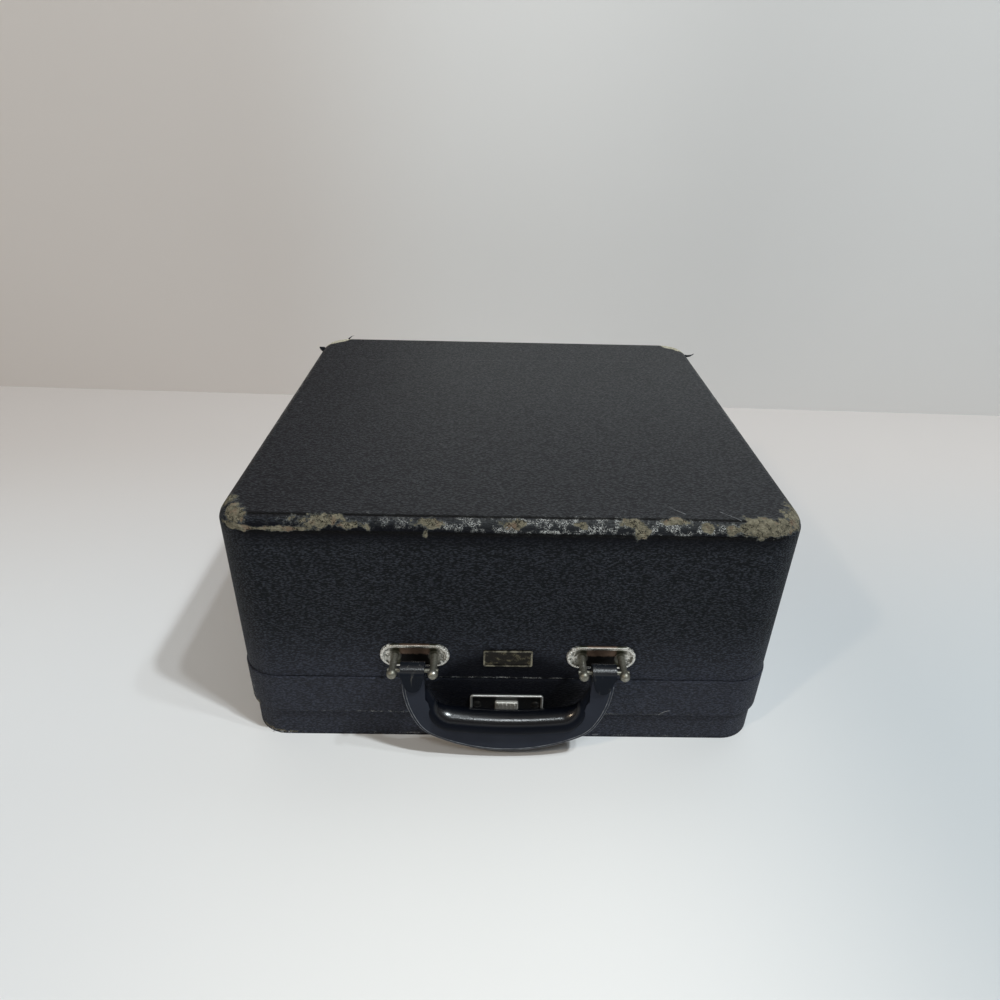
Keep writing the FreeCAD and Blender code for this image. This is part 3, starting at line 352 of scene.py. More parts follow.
def handle_leather(name, dark, light, roughness, shine, scratched=0.0):
    """Smooth navy-black leather, with a polish where it faces up, a fine grain and light scuffs, and
    painted shade in the reflection of its downward faces.
    """
    shaded_matt_to_polished_lit = (0.30, 0.62)  # as the upward part of the surface's direction
    m = Finish(name)
    grain = m.cells(1500.0, m.shaken(m.place, 300.0, 0.001))
    cloud = m.noise(60.0, 4.0)
    scrape = m.noise(240.0, 5.0, m.stretched(1.0, 1.0, 0.25), 0.7)
    marks = m.times(m.span(scrape, 0.58, 0.68), scratched)
    colour = m.mix(marks, m.mix(cloud, dark, light), tone(120, 118, 112))
    rough = m.span(m.plus(cloud, m.times(marks, 0.4)), 0.3, 1.0, roughness, roughness * 1.45)
    polished_and_lit = m.span(m.part("Z", m.facing), *shaded_matt_to_polished_lit)
    rough = m.mix(polished_and_lit, grey(0.9), rough)
    # downward faces get a dark specular colour: painted shade over what they reflect
    painted_shade_tint = m.mix(polished_and_lit, (0.12, 0.14, 0.2, 1.0), grey(1.0))
    m.bump(m.plus(grain, m.times(cloud, 2.0)), 0.00006, 0.4)
    return m.set(base_color=colour, roughness=rough, specular_tint=painted_shade_tint, specular_ior_level=shine)


def nickel(name, tarnish, rust, pits, metal, mottle=1.0):
    """Old nickel plate: bright where it is rubbed, brown-grey where it has gone dull, with pits."""
    m = Finish(name)
    fine = m.patches(900.0, 0.32, 0.68, 5.0, 0.75, 0.5 - mottle / 2, 0.5 + mottle / 2)
    bright = m.mix(fine, tone(196, 194, 186), tone(226, 225, 220))
    dull = m.mix(fine, tone(72, 70, 62), tone(172, 170, 158))
    level = m.patches(140.0, 0.62 - tarnish * 0.5, 0.78 - tarnish * 0.5, 5.0, 0.65)
    spots = m.patches(620.0, 0.60, 0.72, roughness=0.8)
    colour = m.mix(m.times(spots, rust), m.mix(level, bright, dull), tone(98, 62, 36))
    rough = m.span(m.plus(level, spots), 0.0, 1.6, 0.22, 0.6)
    m.bump(m.minus(fine, m.times(spots, 1.5)), 0.00009, pits)
    return m.set(base_color=colour, roughness=rough, metallic=metal)


def mount_nickel(name, middle_x, middle_z, field_y):
    """Handle plate: bright rolled rim, crumbly white bloom at its ends, brown in its middle, near-black
    below as painted shadow of the barrel.
    """
    # Where one colour gives way to the next: outwards along the plate, downwards, and towards its face
    brown_to_olive = (0.0078, 0.0096)
    olive_to_grey = (0.0142, 0.0158)
    bare_to_bloom = (0.0156, 0.0178)
    brown_to_painted_shadow = (middle_z + 0.0034, middle_z + 0.0020)
    field_to_rim = (field_y - 0.0004, field_y - 0.0007)

    m = Finish(name)
    cloud = m.noise(300.0, 5.0, roughness=0.7)
    fine = m.noise(1700.0, 3.0, roughness=0.7)
    along = m.calc("ABSOLUTE", m.minus(m.part("X"), middle_x))
    ragged_along = m.plus(along, m.times(cloud, 0.004))
    ragged_up = m.plus(m.part("Z"), m.times(cloud, 0.003))
    brown = m.mix(cloud, tone(84, 66, 54), tone(142, 120, 104))
    # the field's lower part goes near-black: painted shadow of the handle's barrel
    brown = m.mix(m.span(ragged_up, *brown_to_painted_shadow), brown, tone(14, 12, 11))
    olive = m.mix(cloud, tone(34, 34, 26), tone(86, 86, 70))
    dull = m.mix(fine, tone(62, 62, 54), tone(150, 148, 138))
    middle = m.mix(m.span(along, *brown_to_olive), brown, olive)
    field = m.mix(m.span(ragged_along, *olive_to_grey), middle, dull)
    rim = m.span(m.part("Y"), *field_to_rim)
    colour = m.mix(rim, field, m.mix(cloud, tone(180, 176, 166), tone(236, 235, 230)))
    bloom = m.times(m.span(ragged_along, *bare_to_bloom), m.patches(620.0, 0.47, 0.54, 4.0, 0.8))
    colour = m.mix(bloom, colour, tone(228, 227, 221))
    rough = m.mix(rim, grey(0.5), grey(0.24))
    m.bump(m.plus(fine, m.times(bloom, 1.5)), 0.00016, 0.7)
    return m.set(base_color=colour, roughness=rough, metallic=m.minus(0.9, m.times(bloom, 0.7)))


def lock_plate_metal(name, field_y):
    """Bright nickel rim round a black enamelled pan with wear."""
    m = Finish(name)
    rim = m.span(m.part("Y"), field_y - 0.0002, field_y - 0.0005)
    fine = m.noise(1300.0, 4.0, roughness=0.7)
    chips = m.patches(700.0, 0.63, 0.70, 4.0, 0.75)
    field = m.mix(m.times(chips, 0.7), tone(20, 21, 23), tone(130, 128, 120))
    colour = m.mix(rim, field, m.mix(fine, tone(176, 176, 172), tone(232, 232, 230)))
    rough = m.mix(rim, grey(0.45), grey(0.28))
    m.bump(fine, 0.00005, 0.5)
    return m.set(base_color=colour, roughness=rough, metallic=m.times(rim, 0.75))


def badge_metal(name, field_y):
    """Bare badge: thin brassy rim, dark brown-black field with rubbed metal."""
    m = Finish(name)
    rim = m.span(m.part("Y"), field_y - 0.0001, field_y - 0.0003)
    cloud = m.noise(260.0, 5.0, roughness=0.7)
    fine = m.noise(1500.0, 3.0, roughness=0.7)
    rubbed = m.span(m.plus(cloud, m.times(fine, 0.3)), 0.66, 0.86)
    field = m.mix(rubbed, tone(27, 25, 22), tone(104, 98, 78))
    edge = m.mix(m.span(cloud, 0.4, 0.62), tone(46, 44, 38), tone(140, 136, 120))
    rough = m.span(cloud, 0.3, 0.7, 0.3, 0.5)
    m.bump(m.plus(fine, cloud), 0.00007, 0.6)
    return m.set(base_color=m.mix(rim, field, edge), roughness=rough, metallic=0.8)


def plain_steel(name, dark, light, rough):
    """Drawn steel with fine lines along X and faint brown blotches."""
    m = Finish(name)
    drawn = m.noise(420.0, 4.0, m.stretched(0.08, 1.0, 1.0), 0.6)
    blotch = m.noise(90.0, 3.0)
    colour = m.mix(m.span(blotch, 0.55, 0.75, 0.0, 0.5), m.mix(drawn, dark, light), tone(86, 76, 62))
    rough = m.span(blotch, 0.3, 0.8, rough, rough + 0.25)
    m.bump(drawn, 0.00004, 0.5)
    return m.set(base_color=colour, roughness=rough, metallic=0.9)


def japanned(name):
    """Black enamel on a tack's head, worn through to dull metal in places."""
    m = Finish(name)
    chips = m.patches(900.0, 0.56, 0.66, 4.0, 0.7)
    colour = m.mix(m.times(chips, 0.8), tone(22, 22, 22), tone(96, 92, 82))
    rough = m.span(chips, 0.0, 1.0, 0.35, 0.55)
    m.bump(m.noise(1500.0, 3.0), 0.00006, 0.6)
    return m.set(base_color=colour, roughness=rough, metallic=m.times(chips, 0.6))


def wood(name, along):
    """Pale basswood with the grain along X or Z."""
    rate_along = 3.0
    rate_across = 60.0
    stretch = [rate_along if axis == along else rate_across for axis in ("X", "Y", "Z")]
    m = Finish(name)
    rings = m.noise(1.0, 4.0, m.shaken(m.stretched(*stretch), 0.4, 0.6), 0.6)
    pores = m.noise(12.0, 2.0, m.stretched(*[s * 1.5 for s in stretch]))
    colour = m.mix(rings, tone(150, 118, 78), tone(196, 166, 122))
    colour = m.mix(m.span(pores, 0.62, 0.74, 0.0, 0.35), colour, tone(104, 78, 48))
    m.bump(m.plus(rings, pores), 0.0002, 0.4)
    return m.set(base_color=colour, roughness=m.span(rings, 0.2, 0.8, 0.62, 0.75))


def lining_cloth(name):
    """Thin black cloth glued flat: a fine plain weave with lint."""
    thread_rate = 7800.0  # in radians per metre
    m = Finish(name)
    across, deep, up = [m.calc("SINE", m.times(m.part(axis), thread_rate)) for axis in ("X", "Y", "Z")]
    weave = m.plus(m.times(across, up), deep)
    colour = m.mix(m.span(weave, -1.5, 1.5), tone(22, 22, 24), tone(44, 44, 47))
    colour = m.mix(m.patches(26.0, 0.5, 0.8, 4.0, end=0.5), colour, tone(58, 56, 54))
    colour = m.mix(m.patches(1300.0, 0.70, 0.76, 2.0, end=0.6), colour, tone(120, 118, 112))
    m.bump(weave, 0.00006, 0.6)
    return m.set(base_color=colour, roughness=0.92, sheen_weight=0.25, sheen_roughness=0.5)


def pale_line(name, dark, light):
    """Thread, fibre or scratch: a thin pale thing that varies along its length."""
    m = Finish(name)
    change = m.noise(160.0, 4.0, roughness=0.7)
    colour = m.mix(m.span(change, 0.35, 0.65), dark, light)
    m.bump(m.noise(2500.0, 2.0), 0.00005, 0.5)
    return m.set(base_color=colour, roughness=m.span(change, 0.3, 0.7, 0.6, 0.8))


# Meshes
def piece(name, points, faces, body, material, replaced=()):
    """A new piece in the frame: mesh, finish, the body it rides on and the nodes it stands for."""
    mesh = bpy.data.meshes.new(name)
    mesh.from_pydata([tuple(p) for p in points], [], faces)
    mesh.materials.append(material)
    mesh.polygons.foreach_set("use_smooth", [True] * len(mesh.polygons))
    made = bpy.data.objects.new(name, mesh)
    bpy.context.scene.collection.objects.link(made)
    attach(made, body)
    if replaced:
        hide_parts(*replaced)
    return made


def plan_ring(inset):
    """Points round the case's plan, drawn in by the inset: the same number for every inset."""
    half_x = half_width - inset
    half_y = half_depth - inset
    radius = max(corner_radius - inset, covering)
    flat_x = half_x - radius
    flat_y = half_y - radius
    starts = [(-flat_x, -half_y), (half_x, -flat_y), (flat_x, half_y), (-half_x, flat_y)]
    ends = [(flat_x, -half_y), (half_x, flat_y), (-flat_x, half_y), (-half_x, -flat_y)]
    centres = [(flat_x, -flat_y), (flat_x, flat_y), (-flat_x, flat_y), (-flat_x, -flat_y)]
    points = []
    for side in range(4):
        (x0, y0), (x1, y1), (cx, cy) = starts[side], ends[side], centres[side]
        for step in range(straight_steps):
            t = step / straight_steps
            points.append((x0 + (x1 - x0) * t, y0 + (y1 - y0) * t))
        for step in range(corner_steps):
            turn = math.pi / 2 * (side - 1 + step / corner_steps)
            points.append((cx + radius * math.cos(turn), cy + radius * math.sin(turn)))
    return points


def steps_between(low, high, pitch):
    """Evenly spaced values from low to high, about a pitch apart."""
    count = max(1, round((high - low) / pitch))
    return [low + (high - low) * i / count for i in range(count + 1)]


def ring_faces(rings, count, closed=True):
    """Faces between rings of count points each, with one over the last ring if it is closed."""
    faces = []
    for ring in range(rings - 1):
        here = ring * count
        above = here + count
        for i in range(count):
            j = (i + 1) % count
            faces.append((here + i, here + j, above + j, above + i))
    if closed:
        faces.append(tuple((rings - 1) * count + i for i in range(count)))
    return faces


def uneven(point, amount):
    """How far a hand-covered board's skin lies under its true face at a point."""
    wide = noise.noise(point * 22.0)
    narrow = noise.noise(point * 95.0)
    return amount * (0.5 + 0.38 * wide + 0.12 * narrow)


def skin_piece(name, profile, marks, closed, body, replaced, hole):
    """A skin round the case's plan from a profile of insets and heights, with its wear and painted shade on
    its points.
    """
    count = len(plan_ring(0.0))
    points = []
    for inset, z in profile:
        for x, y in plan_ring(inset):
            outwards = Vector((x, y, 0.0)).normalized()
            spot = Vector((x, y, z))
            points.append(spot - outwards * uneven(spot, skin_slack))
    faces = [f for f in ring_faces(len(profile), count, closed) if not hole(points, f)]
    made = piece(name, points, faces, body, leatherette(name + "_finish"), replaced)
    for kind, value in marks.items():
        values = [value(p) for p in points]
        made.data.attributes.new(kind, "FLOAT", "POINT").data.foreach_set("value", values)


def nearness(spots):
    """Function for how near a point is to the spots: a spot's strength at its middle, 0 at its edge."""
    def nearest(point):
        best = -1.0
        for place, size, strength in spots:
            away = math.sqrt(sum(((p - c) / s) ** 2 for p, c, s in zip(point, place, size)))
            best = max(best, strength * (1.0 - away))
        return best
    return nearest


# Spots of wear and of pale marks, each as its middle, its reach along X, Y and Z, and its strength
edge_y = front + 0.0026  # the middle of the front's rounded top edge
edge_z = top_z - 0.0034
torn_spots = [
    ((-0.1510, front + 0.008, edge_z + 0.0015), (0.009, 0.009, 0.0032), 1.1),
    ((-0.1570, front + 0.021, edge_z + 0.0020), (0.005, 0.005, 0.0030), 1.0),
    ((-0.1500, front + 0.004, top_z - 0.0066), (0.014, 0.008, 0.0014), 0.9),
    ((-0.129, front, top_z - 0.0062), (0.024, 0.003, 0.0012), 0.7),
    ((-0.103, edge_y, edge_z + 0.001), (0.0125, 0.005, 0.0036), 0.8),
    ((-0.088, edge_y, edge_z - 0.001), (0.008, 0.004, 0.0020), 0.6),
    ((-0.045, edge_y, edge_z + 0.001), (0.0075, 0.004, 0.0026), 0.9),
    ((-0.047, front, edge_z - 0.004), (0.0015, 0.002, 0.0030), 0.9),
    ((0.002, edge_y, edge_z + 0.001), (0.0075, 0.004, 0.0026), 0.8),
    ((0.037, edge_y, edge_z + 0.001), (0.0032, 0.003, 0.0022), 0.9),
    ((0.064, edge_y + 0.001, edge_z + 0.0016), (0.0060, 0.004, 0.0018), 0.7),
    ((0.088, edge_y + 0.003, edge_z + 0.0026), (0.0060, 0.004, 0.0014), 0.6),
    ((0.069, front + 0.001, edge_z - 0.001), (0.0046, 0.004, 0.0048), 1.1),
    ((0.105, edge_y, edge_z + 0.0006), (0.0032, 0.004, 0.0024), 0.8),
    ((0.1195, edge_y, edge_z - 0.0004), (0.0060, 0.004, 0.0020), 0.6),
    ((0.139, edge_y + 0.001, edge_z), (0.021, 0.007, 0.0045), 1.0),
    ((0.1560, front + 0.010, edge_z + 0.001), (0.008, 0.014, 0.0045), 1.0),
    ((0.1610, front + 0.028, edge_z + 0.001), (0.0028, 0.016, 0.0035), 0.7),
    ((0.1610, 0.095, edge_z + 0.001), (0.0020, 0.030, 0.0020), 0.5),
    ((-0.1610, 0.060, edge_z + 0.001), (0.0018, 0.020, 0.0018), 0.4),
]
cut_reach = 0.040  # the back corners are worn straight across, as by a ball of this radius
cut_height = 0.009
cut_depth = 0.0095
cut_strength = 12.0
cut_out = (cut_depth + cut_reach) / math.sqrt(2)
for side in (-1, 1):
    cut_middle = (side * (arc_x + cut_out), arc_y + cut_out, top_z)
    torn_spots.append((cut_middle, (cut_reach, cut_reach, cut_height), cut_strength))
scuffed_spots = [
    ((0.045, edge_y, edge_z + 0.0006), (0.115, 0.0075, 0.0062), 1.5),
    ((-0.060, edge_y, edge_z + 0.0006), (0.090, 0.0065, 0.0055), 0.4),
    # pale dashes along the lid's lower front edge, over the seam
    ((-0.005, front, lid_low.z + 0.0003), (0.075, 0.004, 0.0014), 1.3),
    ((0.1600, 0.020, edge_z + 0.001), (0.006, 0.150, 0.0040), 0.6),
    ((-0.1600, 0.020, edge_z + 0.001), (0.006, 0.150, 0.0040), 0.6),
]
belt_torn_spots = [
    ((-0.1560, front + 0.0095, belt_bottom), (0.006, 0.006, 0.0022), 0.8),
    ((-0.1440, front + 0.0045, 0.0012), (0.012, 0.008, 0.0022), 0.9),
]
belt_scuffed_spots = [
    ((0.0, front + 0.003, 0.0010), (0.170, 0.010, 0.0022), 0.6),
    ((0.0, front, belt_bottom + 0.0010), (0.165, 0.010, 0.0016), 0.6),
    ((-0.1590, front + 0.012, 0.030), (0.004, 0.012, 0.020), 0.6),
]

# Wear and painted shade along the whole front, each pair as the place where it is 0 and the place where it
# is full
off_to_on_front = (front + 0.004, front + 0.002)
band_above_fold = (lap_z - 0.0001, lap_z + 0.0003)
band_before_fold = (band_back + 0.0003, band_back - 0.0001)
band_left_to_right = (-0.110, 0.030)
band_least = 0.12  # how strong the strip is towards the left
band_ends = (0.158, 0.140)
# painted shade in the folds, each pair from its edge to where it is full
crease_above = (lap_z + 0.0002, lap_z - 0.0001)
crease_below = (lap_z - 0.0030, lap_z - 0.0010)
crease_before = (band_back - 0.0001, band_back + 0.0001)
crease_behind = (band_back + 0.0019, band_back + 0.0011)
crease_on_top = (0.159, 0.160)
crease_ends = (0.160, 0.145)
# painted shade under the strip's fold
shade_under_fold = (lap_z - 0.0110, lap_z - 0.0020)
shade_ends = (0.162, 0.140)
handle_shade = 0.96  # painted shadow of the handle: an oval of the front painted near-black, this strongly
handle_shade_edge = (1.0, 0.7)  # as shares of the oval's reach
handle_shade_z = 0.043
handle_shade_reach_x = 0.058
handle_shade_reach_z = 0.034


def step_over(value, low, high):
    """0 below the low value, 1 above the high one, straight between. The two may be swapped."""
    return min(1.0, max(0.0, (value - low) / (high - low)))


def waver(point, rate):
    """A small shift that keeps the folds from being quite straight."""
    return 0.0003 * noise.noise(point * rate)


def in_band(point):
    """The rubbed strip along the front's top edge, between its two creases."""
    wave = waver(point, 60.0)
    over = step_over(point.z + wave, *band_above_fold)
    before = step_over(point.y + wave, *band_before_fold)
    along = band_least + (1 - band_least) * step_over(point.x, *band_left_to_right)
    return over * before * along * step_over(abs(point.x), *band_ends)


def in_crease_shade(point):
    """Painted shade in the fold under the strip and in the fine one behind it."""
    wave = waver(point, 45.0)
    z = point.z + wave
    y = point.y + wave
    under = step_over(z, *crease_above) * step_over(z, *crease_below)
    under *= step_over(point.y, *off_to_on_front)
    behind = step_over(y, *crease_before) * step_over(y, *crease_behind)
    behind *= step_over(point.z, *crease_on_top)
    return max(under, behind) * step_over(abs(point.x), *crease_ends)


def in_shade(point):
    """Painted shade on the front: under the strip, and the handle's painted shadow over an oval behind it.
    """
    under = step_over(point.z, *shade_under_fold) * step_over(abs(point.x), *shade_ends)
    along = point.x / handle_shade_reach_x
    above = (point.z - handle_shade_z) / handle_shade_reach_z
    away = math.sqrt(along**2 + above**2)
    behind_handle = handle_shade * step_over(away, *handle_shade_edge)
    return step_over(point.y, *off_to_on_front) * max(under, behind_handle)


def nowhere(point):
    return 0.0


# Skins
def lid_profile():
    """Insets and heights of the lid's skin, from the turned-in strip up the side to the top's middle."""
    bottom = lid_low.z
    rings = [(lid_turn_in, bottom + covering), (lid_turn_in, bottom), (2 * seam_bevel, bottom)]
    rings += [(seam_bevel, bottom), (bevel_middle, bottom + bevel_middle), (0.0, bottom + seam_bevel)]
    side_start = bottom + 0.0015
    side_stop = top_z - top_edge_drop - 0.0010
    rings += [(0.0, z) for z in steps_between(side_start, side_stop, lid_ring_pitch)]
    for step in range(edge_steps + 1):
        turn = math.pi / 2 * step / edge_steps
        share_out = math.cos(turn) ** top_edge_flatness
        share_up = math.sin(turn) ** top_edge_flatness
        z = top_z - top_edge_drop * (1 - share_up)
        sunk = fold_depth * max(0.0, 1.0 - abs(z - lap_z + fold_half_height) / fold_half_height)
        rings.append((top_edge_inset * (1 - share_out) + sunk, z))
    inset = top_edge_inset
    pitch = top_ring_pitch
    while inset + pitch < half_depth - top_middle:
        inset += pitch
        pitch = min(pitch * top_ring_growth, top_ring_widest)
        rings.append((inset, top_z))
    return rings


def base_profile():
    """Insets and heights of the base's skin, from under the foot up the belt and in over its rim."""
    belt_in = -belt_proud
    bottom = belt_low.z
    top = belt_high.z
    rings = [(foot_inset + covering, bottom), (foot_inset + foot_bevel_in, bottom)]
    rings.append((foot_inset, bottom + foot_bevel_up))
    foot_start = bottom + 3 * foot_bevel_up
    foot_stop = belt_bottom - seam_bevel
    rings += [(foot_inset, z) for z in steps_between(foot_start, foot_stop, foot_ring_pitch)]
    rings += [(foot_inset, belt_bottom), (belt_in + belt_bevel, belt_bottom)]
    rings.append((belt_in + belt_bevel_middle, belt_bottom + belt_bevel_middle))
    rings.append((belt_in, belt_bottom + belt_bevel))
    belt_start = belt_bottom + 0.002
    belt_stop = top - 0.0014
    rings += [(belt_in, z) for z in steps_between(belt_start, belt_stop, belt_ring_pitch)]
    rings += [(belt_in, top - seam_bevel), (belt_in + bevel_middle, top - bevel_middle)]
    rings += [(belt_in + seam_bevel, top), (4 * seam_bevel, top)]
    rings += [(base_turn_in, top), (base_turn_in, top - covering)]
    return rings


def over_front_recess(low, high, level):
    """Test for a face of the turned-in strip that lies over a recess in the front rim."""
    def test(points, face):
        middle = sum((points[i] for i in face), Vector()) / len(face)
        flat = abs(middle.z - level) < covering
        return flat and low < middle.x < high and front + whole_rim < middle.y < 0.0
    return test


lid_marks = {"wear": nearness(torn_spots), "scuff": nearness(scuffed_spots), "band": in_band,
             "crease_shade": in_crease_shade, "shade": in_shade}
base_marks = {"wear": nearness(belt_torn_spots), "scuff": nearness(belt_scuffed_spots), "band": nowhere,
              "crease_shade": nowhere, "shade": in_shade}
skin_piece("lid_leatherette", lid_profile(), lid_marks, True,
           "lid", ["lid_covering"], over_front_recess(hasp_low.x, hasp_high.x, lid_low.z))
skin_piece("base_leatherette", base_profile(), base_marks, False,
           "base", ["base_covering"], over_front_recess(lock_low.x, lock_high.x, belt_high.z))


# Thin things: welt lines, scratches, fibres and torn tips
def joined(shapes):
    """Points and faces of several shapes as one."""
    points, faces = [], []
    for more, quads in shapes:
        faces += [tuple(i + len(points) for i in f) for f in quads]
        points += more
    return points, faces


def along_path(path, i):
    """Direction of a path at one of its points."""
    return (path[min(i + 1, len(path) - 1)] - path[max(i - 1, 0)]).normalized()


def tube(path, radius, sides=6):
    """Points and faces of a round bar along a path, closed at both ends."""
    odd_direction = Vector((0.31, 0.87, 0.38))  # no path runs along it
    points = []
    for i, spot in enumerate(path):
        along = along_path(path, i)
        across = along.cross(odd_direction).normalized()
        other = along.cross(across)
        for k in range(sides):
            turn = 2 * math.pi * k / sides
            points.append(spot + (across * math.cos(turn) + other * math.sin(turn)) * radius)
    return points, ring_faces(len(path), sides) + [tuple(reversed(range(sides)))]


def bars(name, paths, radius, body, material):
    """Several tubes as one piece."""
    points, faces = joined([tube(path, radius) for path in paths])
    piece(name, points, faces, body, material)


def handle_outline(inset):
    """The handle's outer edge from the left arm round to the right one, drawn in by the inset."""
    shift = side_radius - heel_radius
    side_x = arm_x + arm_width / 2 - side_radius
    heel_x = side_x + shift * math.sin(side_end)
    heel_drop = side_drop + shift * math.cos(side_end)
    bottom_radius = heel_radius + heel_x / math.sin(heel_end)
    bottom_drop = heel_drop - (bottom_radius - heel_radius) * math.cos(heel_end)
    arcs = [(side_x, side_drop, side_radius, math.pi / 2, side_end, side_steps)]
    arcs.append((heel_x, heel_drop, heel_radius, side_end, heel_end, heel_steps))
    arcs.append((0.0, bottom_drop, bottom_radius, heel_end, 0.0, bottom_steps))
    right = []
    for x, drop, radius, start, end, count in arcs:
        for step in range(count):
            turn = start + (end - start) * step / count
            reach = radius - inset
            right.append((x + reach * math.sin(turn), pivot_z - drop - reach * math.cos(turn)))
    bottom = (0.0, pivot_z - bottom_drop - (bottom_radius - inset))
    return [(-x, z) for x, z in right] + [bottom] + list(reversed(right))


def welt_paths():
    """Raised lines on both faces of the handle, along the rounding of its outer edge."""
    paths = []
    for inset in welt_insets:
        outside = max(flange_edge_radius - inset, 0.0)
        sunk = flange_edge_radius - math.sqrt(flange_edge_radius**2 - outside**2)
        half = arm_thickness / 2 - sunk
        for side in (-1, 1):
            paths.append([Vector((x, pivot_y + side * half, z)) for x, z in handle_outline(inset)])
    return paths


def curved(start, bend, end, steps=8):
    """Points from start to end, drawn towards the bend between them."""
    start, bend, end = Vector(start), Vector(bend), Vector(end)
    shares = [i / steps for i in range(steps + 1)]
    return [start * (1 - t) ** 2 + bend * 2 * t * (1 - t) + end * t * t for t in shares]


bars("handle_welt", welt_paths(), welt_radius, "handle",
     pale_line("welt_finish", tone(70, 74, 80), tone(124, 128, 134)))

scratch_radius = 0.00012
fibre_radius = scratch_radius * 1.4
top_scratches = [
    curved((0.0870, -0.1380, top_z), (0.0895, -0.1422, top_z), (0.0945, -0.1458, top_z)),
    curved((0.1139, -0.1428, top_z), (0.1195, -0.1475, top_z), (0.1233, -0.1519, top_z)),
    curved((-0.1500, 0.0010, top_z), (-0.1492, 0.0018, top_z), (-0.1484, 0.0016, top_z)),
]
belt_scratch = curved(
    (0.0958, belt_face, 0.0225), (0.0985, belt_face, 0.0256), (0.1023, belt_face, 0.0261))

# Loose fibres in a row along the foot's lower edge, from its left corner
fibre_count = 9
fibre_first_x = -0.1495
fibre_pitch = 0.0017
fibre_root = 0.0004  # how deep in the covering a fibre starts
foot_radius = corner_radius - foot_inset
fibres = []
for i in range(fibre_count):
    x = fibre_first_x + fibre_pitch * i
    past_corner = max(0.0, -x - arc_x)
    y = -arc_y - math.sqrt(foot_radius**2 - past_corner**2) + fibre_root
    drift = 0.0014 * math.sin(i * 2.3)
    upper_end = (x, y, 0.0022 + 0.0006 * math.sin(i * 1.7))
    fibres.append(curved(upper_end, (x + drift, y - 0.0008, 0.0012), (x + 2 * drift, y - 0.0005, 0.0004)))

bars("lid_scratches", top_scratches, scratch_radius, "lid",
     pale_line("scratch_finish", tone(96, 100, 104), tone(164, 168, 172)))
bars("base_scratches", [belt_scratch] + fibres, fibre_radius, "base",
     pale_line("fibre_finish", tone(96, 98, 100), tone(164, 166, 168)))


def torn_tip(start, bend, end, width, thickness):
    """A stiff curl of torn covering, wide where it leaves the case and pointed at its end."""
    steps = 6
    sides = 8
    path = curved(start, bend, end, steps)
    points = []
    for i, spot in enumerate(path):
        along = along_path(path, i)
        across = along.cross(Vector((0.0, 0.0, 1.0))).normalized()
        lift = across.cross(along)
        thin = 1.0 - 0.92 * (i / steps) ** 1.4
        ragged = 1.0 + 0.25 * math.sin(i * 2.9)
        for k in range(sides):
            turn = 2 * math.pi * k / sides
            sideways = across * width * thin * ragged * math.cos(turn)
            points.append(spot + sideways + lift * thickness * thin * math.sin(turn))
    return points, ring_faces(steps + 1, sides) + [tuple(reversed(range(sides)))]


right_tip = torn_tip(
    (half_width - 0.003, arc_y - 0.002, top_z - 0.0035),
    (half_width + 0.001, arc_y - 0.002, top_z - 0.0040),
    (half_width + 0.0052, arc_y, top_z - 0.0020), width=0.0017, thickness=0.0011)
left_tip = torn_tip(
    (-half_width + 0.002, arc_y - 0.002, top_z - 0.0040),
    (-half_width - 0.0005, arc_y - 0.001, top_z - 0.0036),
    (-half_width - 0.0020, arc_y, top_z - 0.0026), width=0.0024, thickness=0.0022)
thread_tip = torn_tip(
    (-arc_x - 0.0030, half_depth - 0.005, top_z - 0.001),
    (-arc_x - 0.0020, half_depth, top_z),
    (-arc_x + 0.0010, half_depth + 0.001, top_z + 0.0006), width=0.0009, thickness=0.0003)
tip_points, tip_faces = joined([right_tip, left_tip, thread_tip])
piece("lid_torn_corners", tip_points, tip_faces, "lid",
      leatherette("lid_torn_corners_finish", False))


# Finishes of the pieces that keep their own shape
def dress(names, material):
    for name in names:
        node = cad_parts[name]
        node.data.materials.clear()
        node.data.materials.append(material)
        node.data.polygons.foreach_set("use_smooth", [True] * len(node.data.polygons))


def both(*stems):
    """Names of pieces that come as a left and a right one."""
    return [stem + side for stem in stems for side in ("left", "right")]


mount_field_out = 0.0009  # how far a plate's sunken field lies in front of its back
lock_field_out = 0.00075
badge_field_in = 0.0005  # and the badge's behind its front
dress(["handle_flange"],
      handle_leather("flange_leather", tone(42, 45, 53), tone(54, 58, 68), roughness=0.52, shine=0.24))
dress(["handle_grip"],
      handle_leather("grip_leather", tone(3, 5, 11), tone(7, 10, 18), roughness=0.20, shine=0.9))
loop_tones = (tone(12, 15, 20), tone(24, 28, 35))
for side, scratched in (("left", 0.55), ("right", 0.15)):
    dress(["handle_loop_" + side],
          handle_leather("loop_leather_" + side, *loop_tones, 0.22, 0.9, scratched))
    plate_low, plate_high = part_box("handle_plate_" + side)
    middle = (plate_low + plate_high) / 2
    dress(["handle_plate_" + side],
          mount_nickel("mount_nickel_" + side, middle.x, middle.z, plate_high.y - mount_field_out))
dress(both("handle_posts_", "handle_cross_pin_"),
      nickel("post_nickel", tarnish=0.7, rust=0.15, pits=0.2, metal=0.85, mottle=0.4))
dress(["lock_plate"], lock_plate_metal("lock_plate_metal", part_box("lock_plate")[1].y - lock_field_out))
dress(["lock_button"], nickel("button_nickel", tarnish=0.15, rust=0.1, pits=0.3, metal=0.6))
dress(["lock_plate_tacks"], japanned("tack_enamel"))
dress(["badge_plate"], badge_metal("badge_metal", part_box("badge_plate")[0].y + badge_field_in))
dress(both("hinge_leaf_lid_", "hinge_leaf_base_", "hinge_pin_") + ["hinge_screws_lid", "hinge_screws_base"],
      nickel("hinge_nickel", tarnish=0.6, rust=0.3, pits=0.25, metal=0.95, mottle=0.35))
lock_parts = ["lock_case", "lock_bolt", "lock_spring", "lid_hasp", "lid_hasp_screws"]
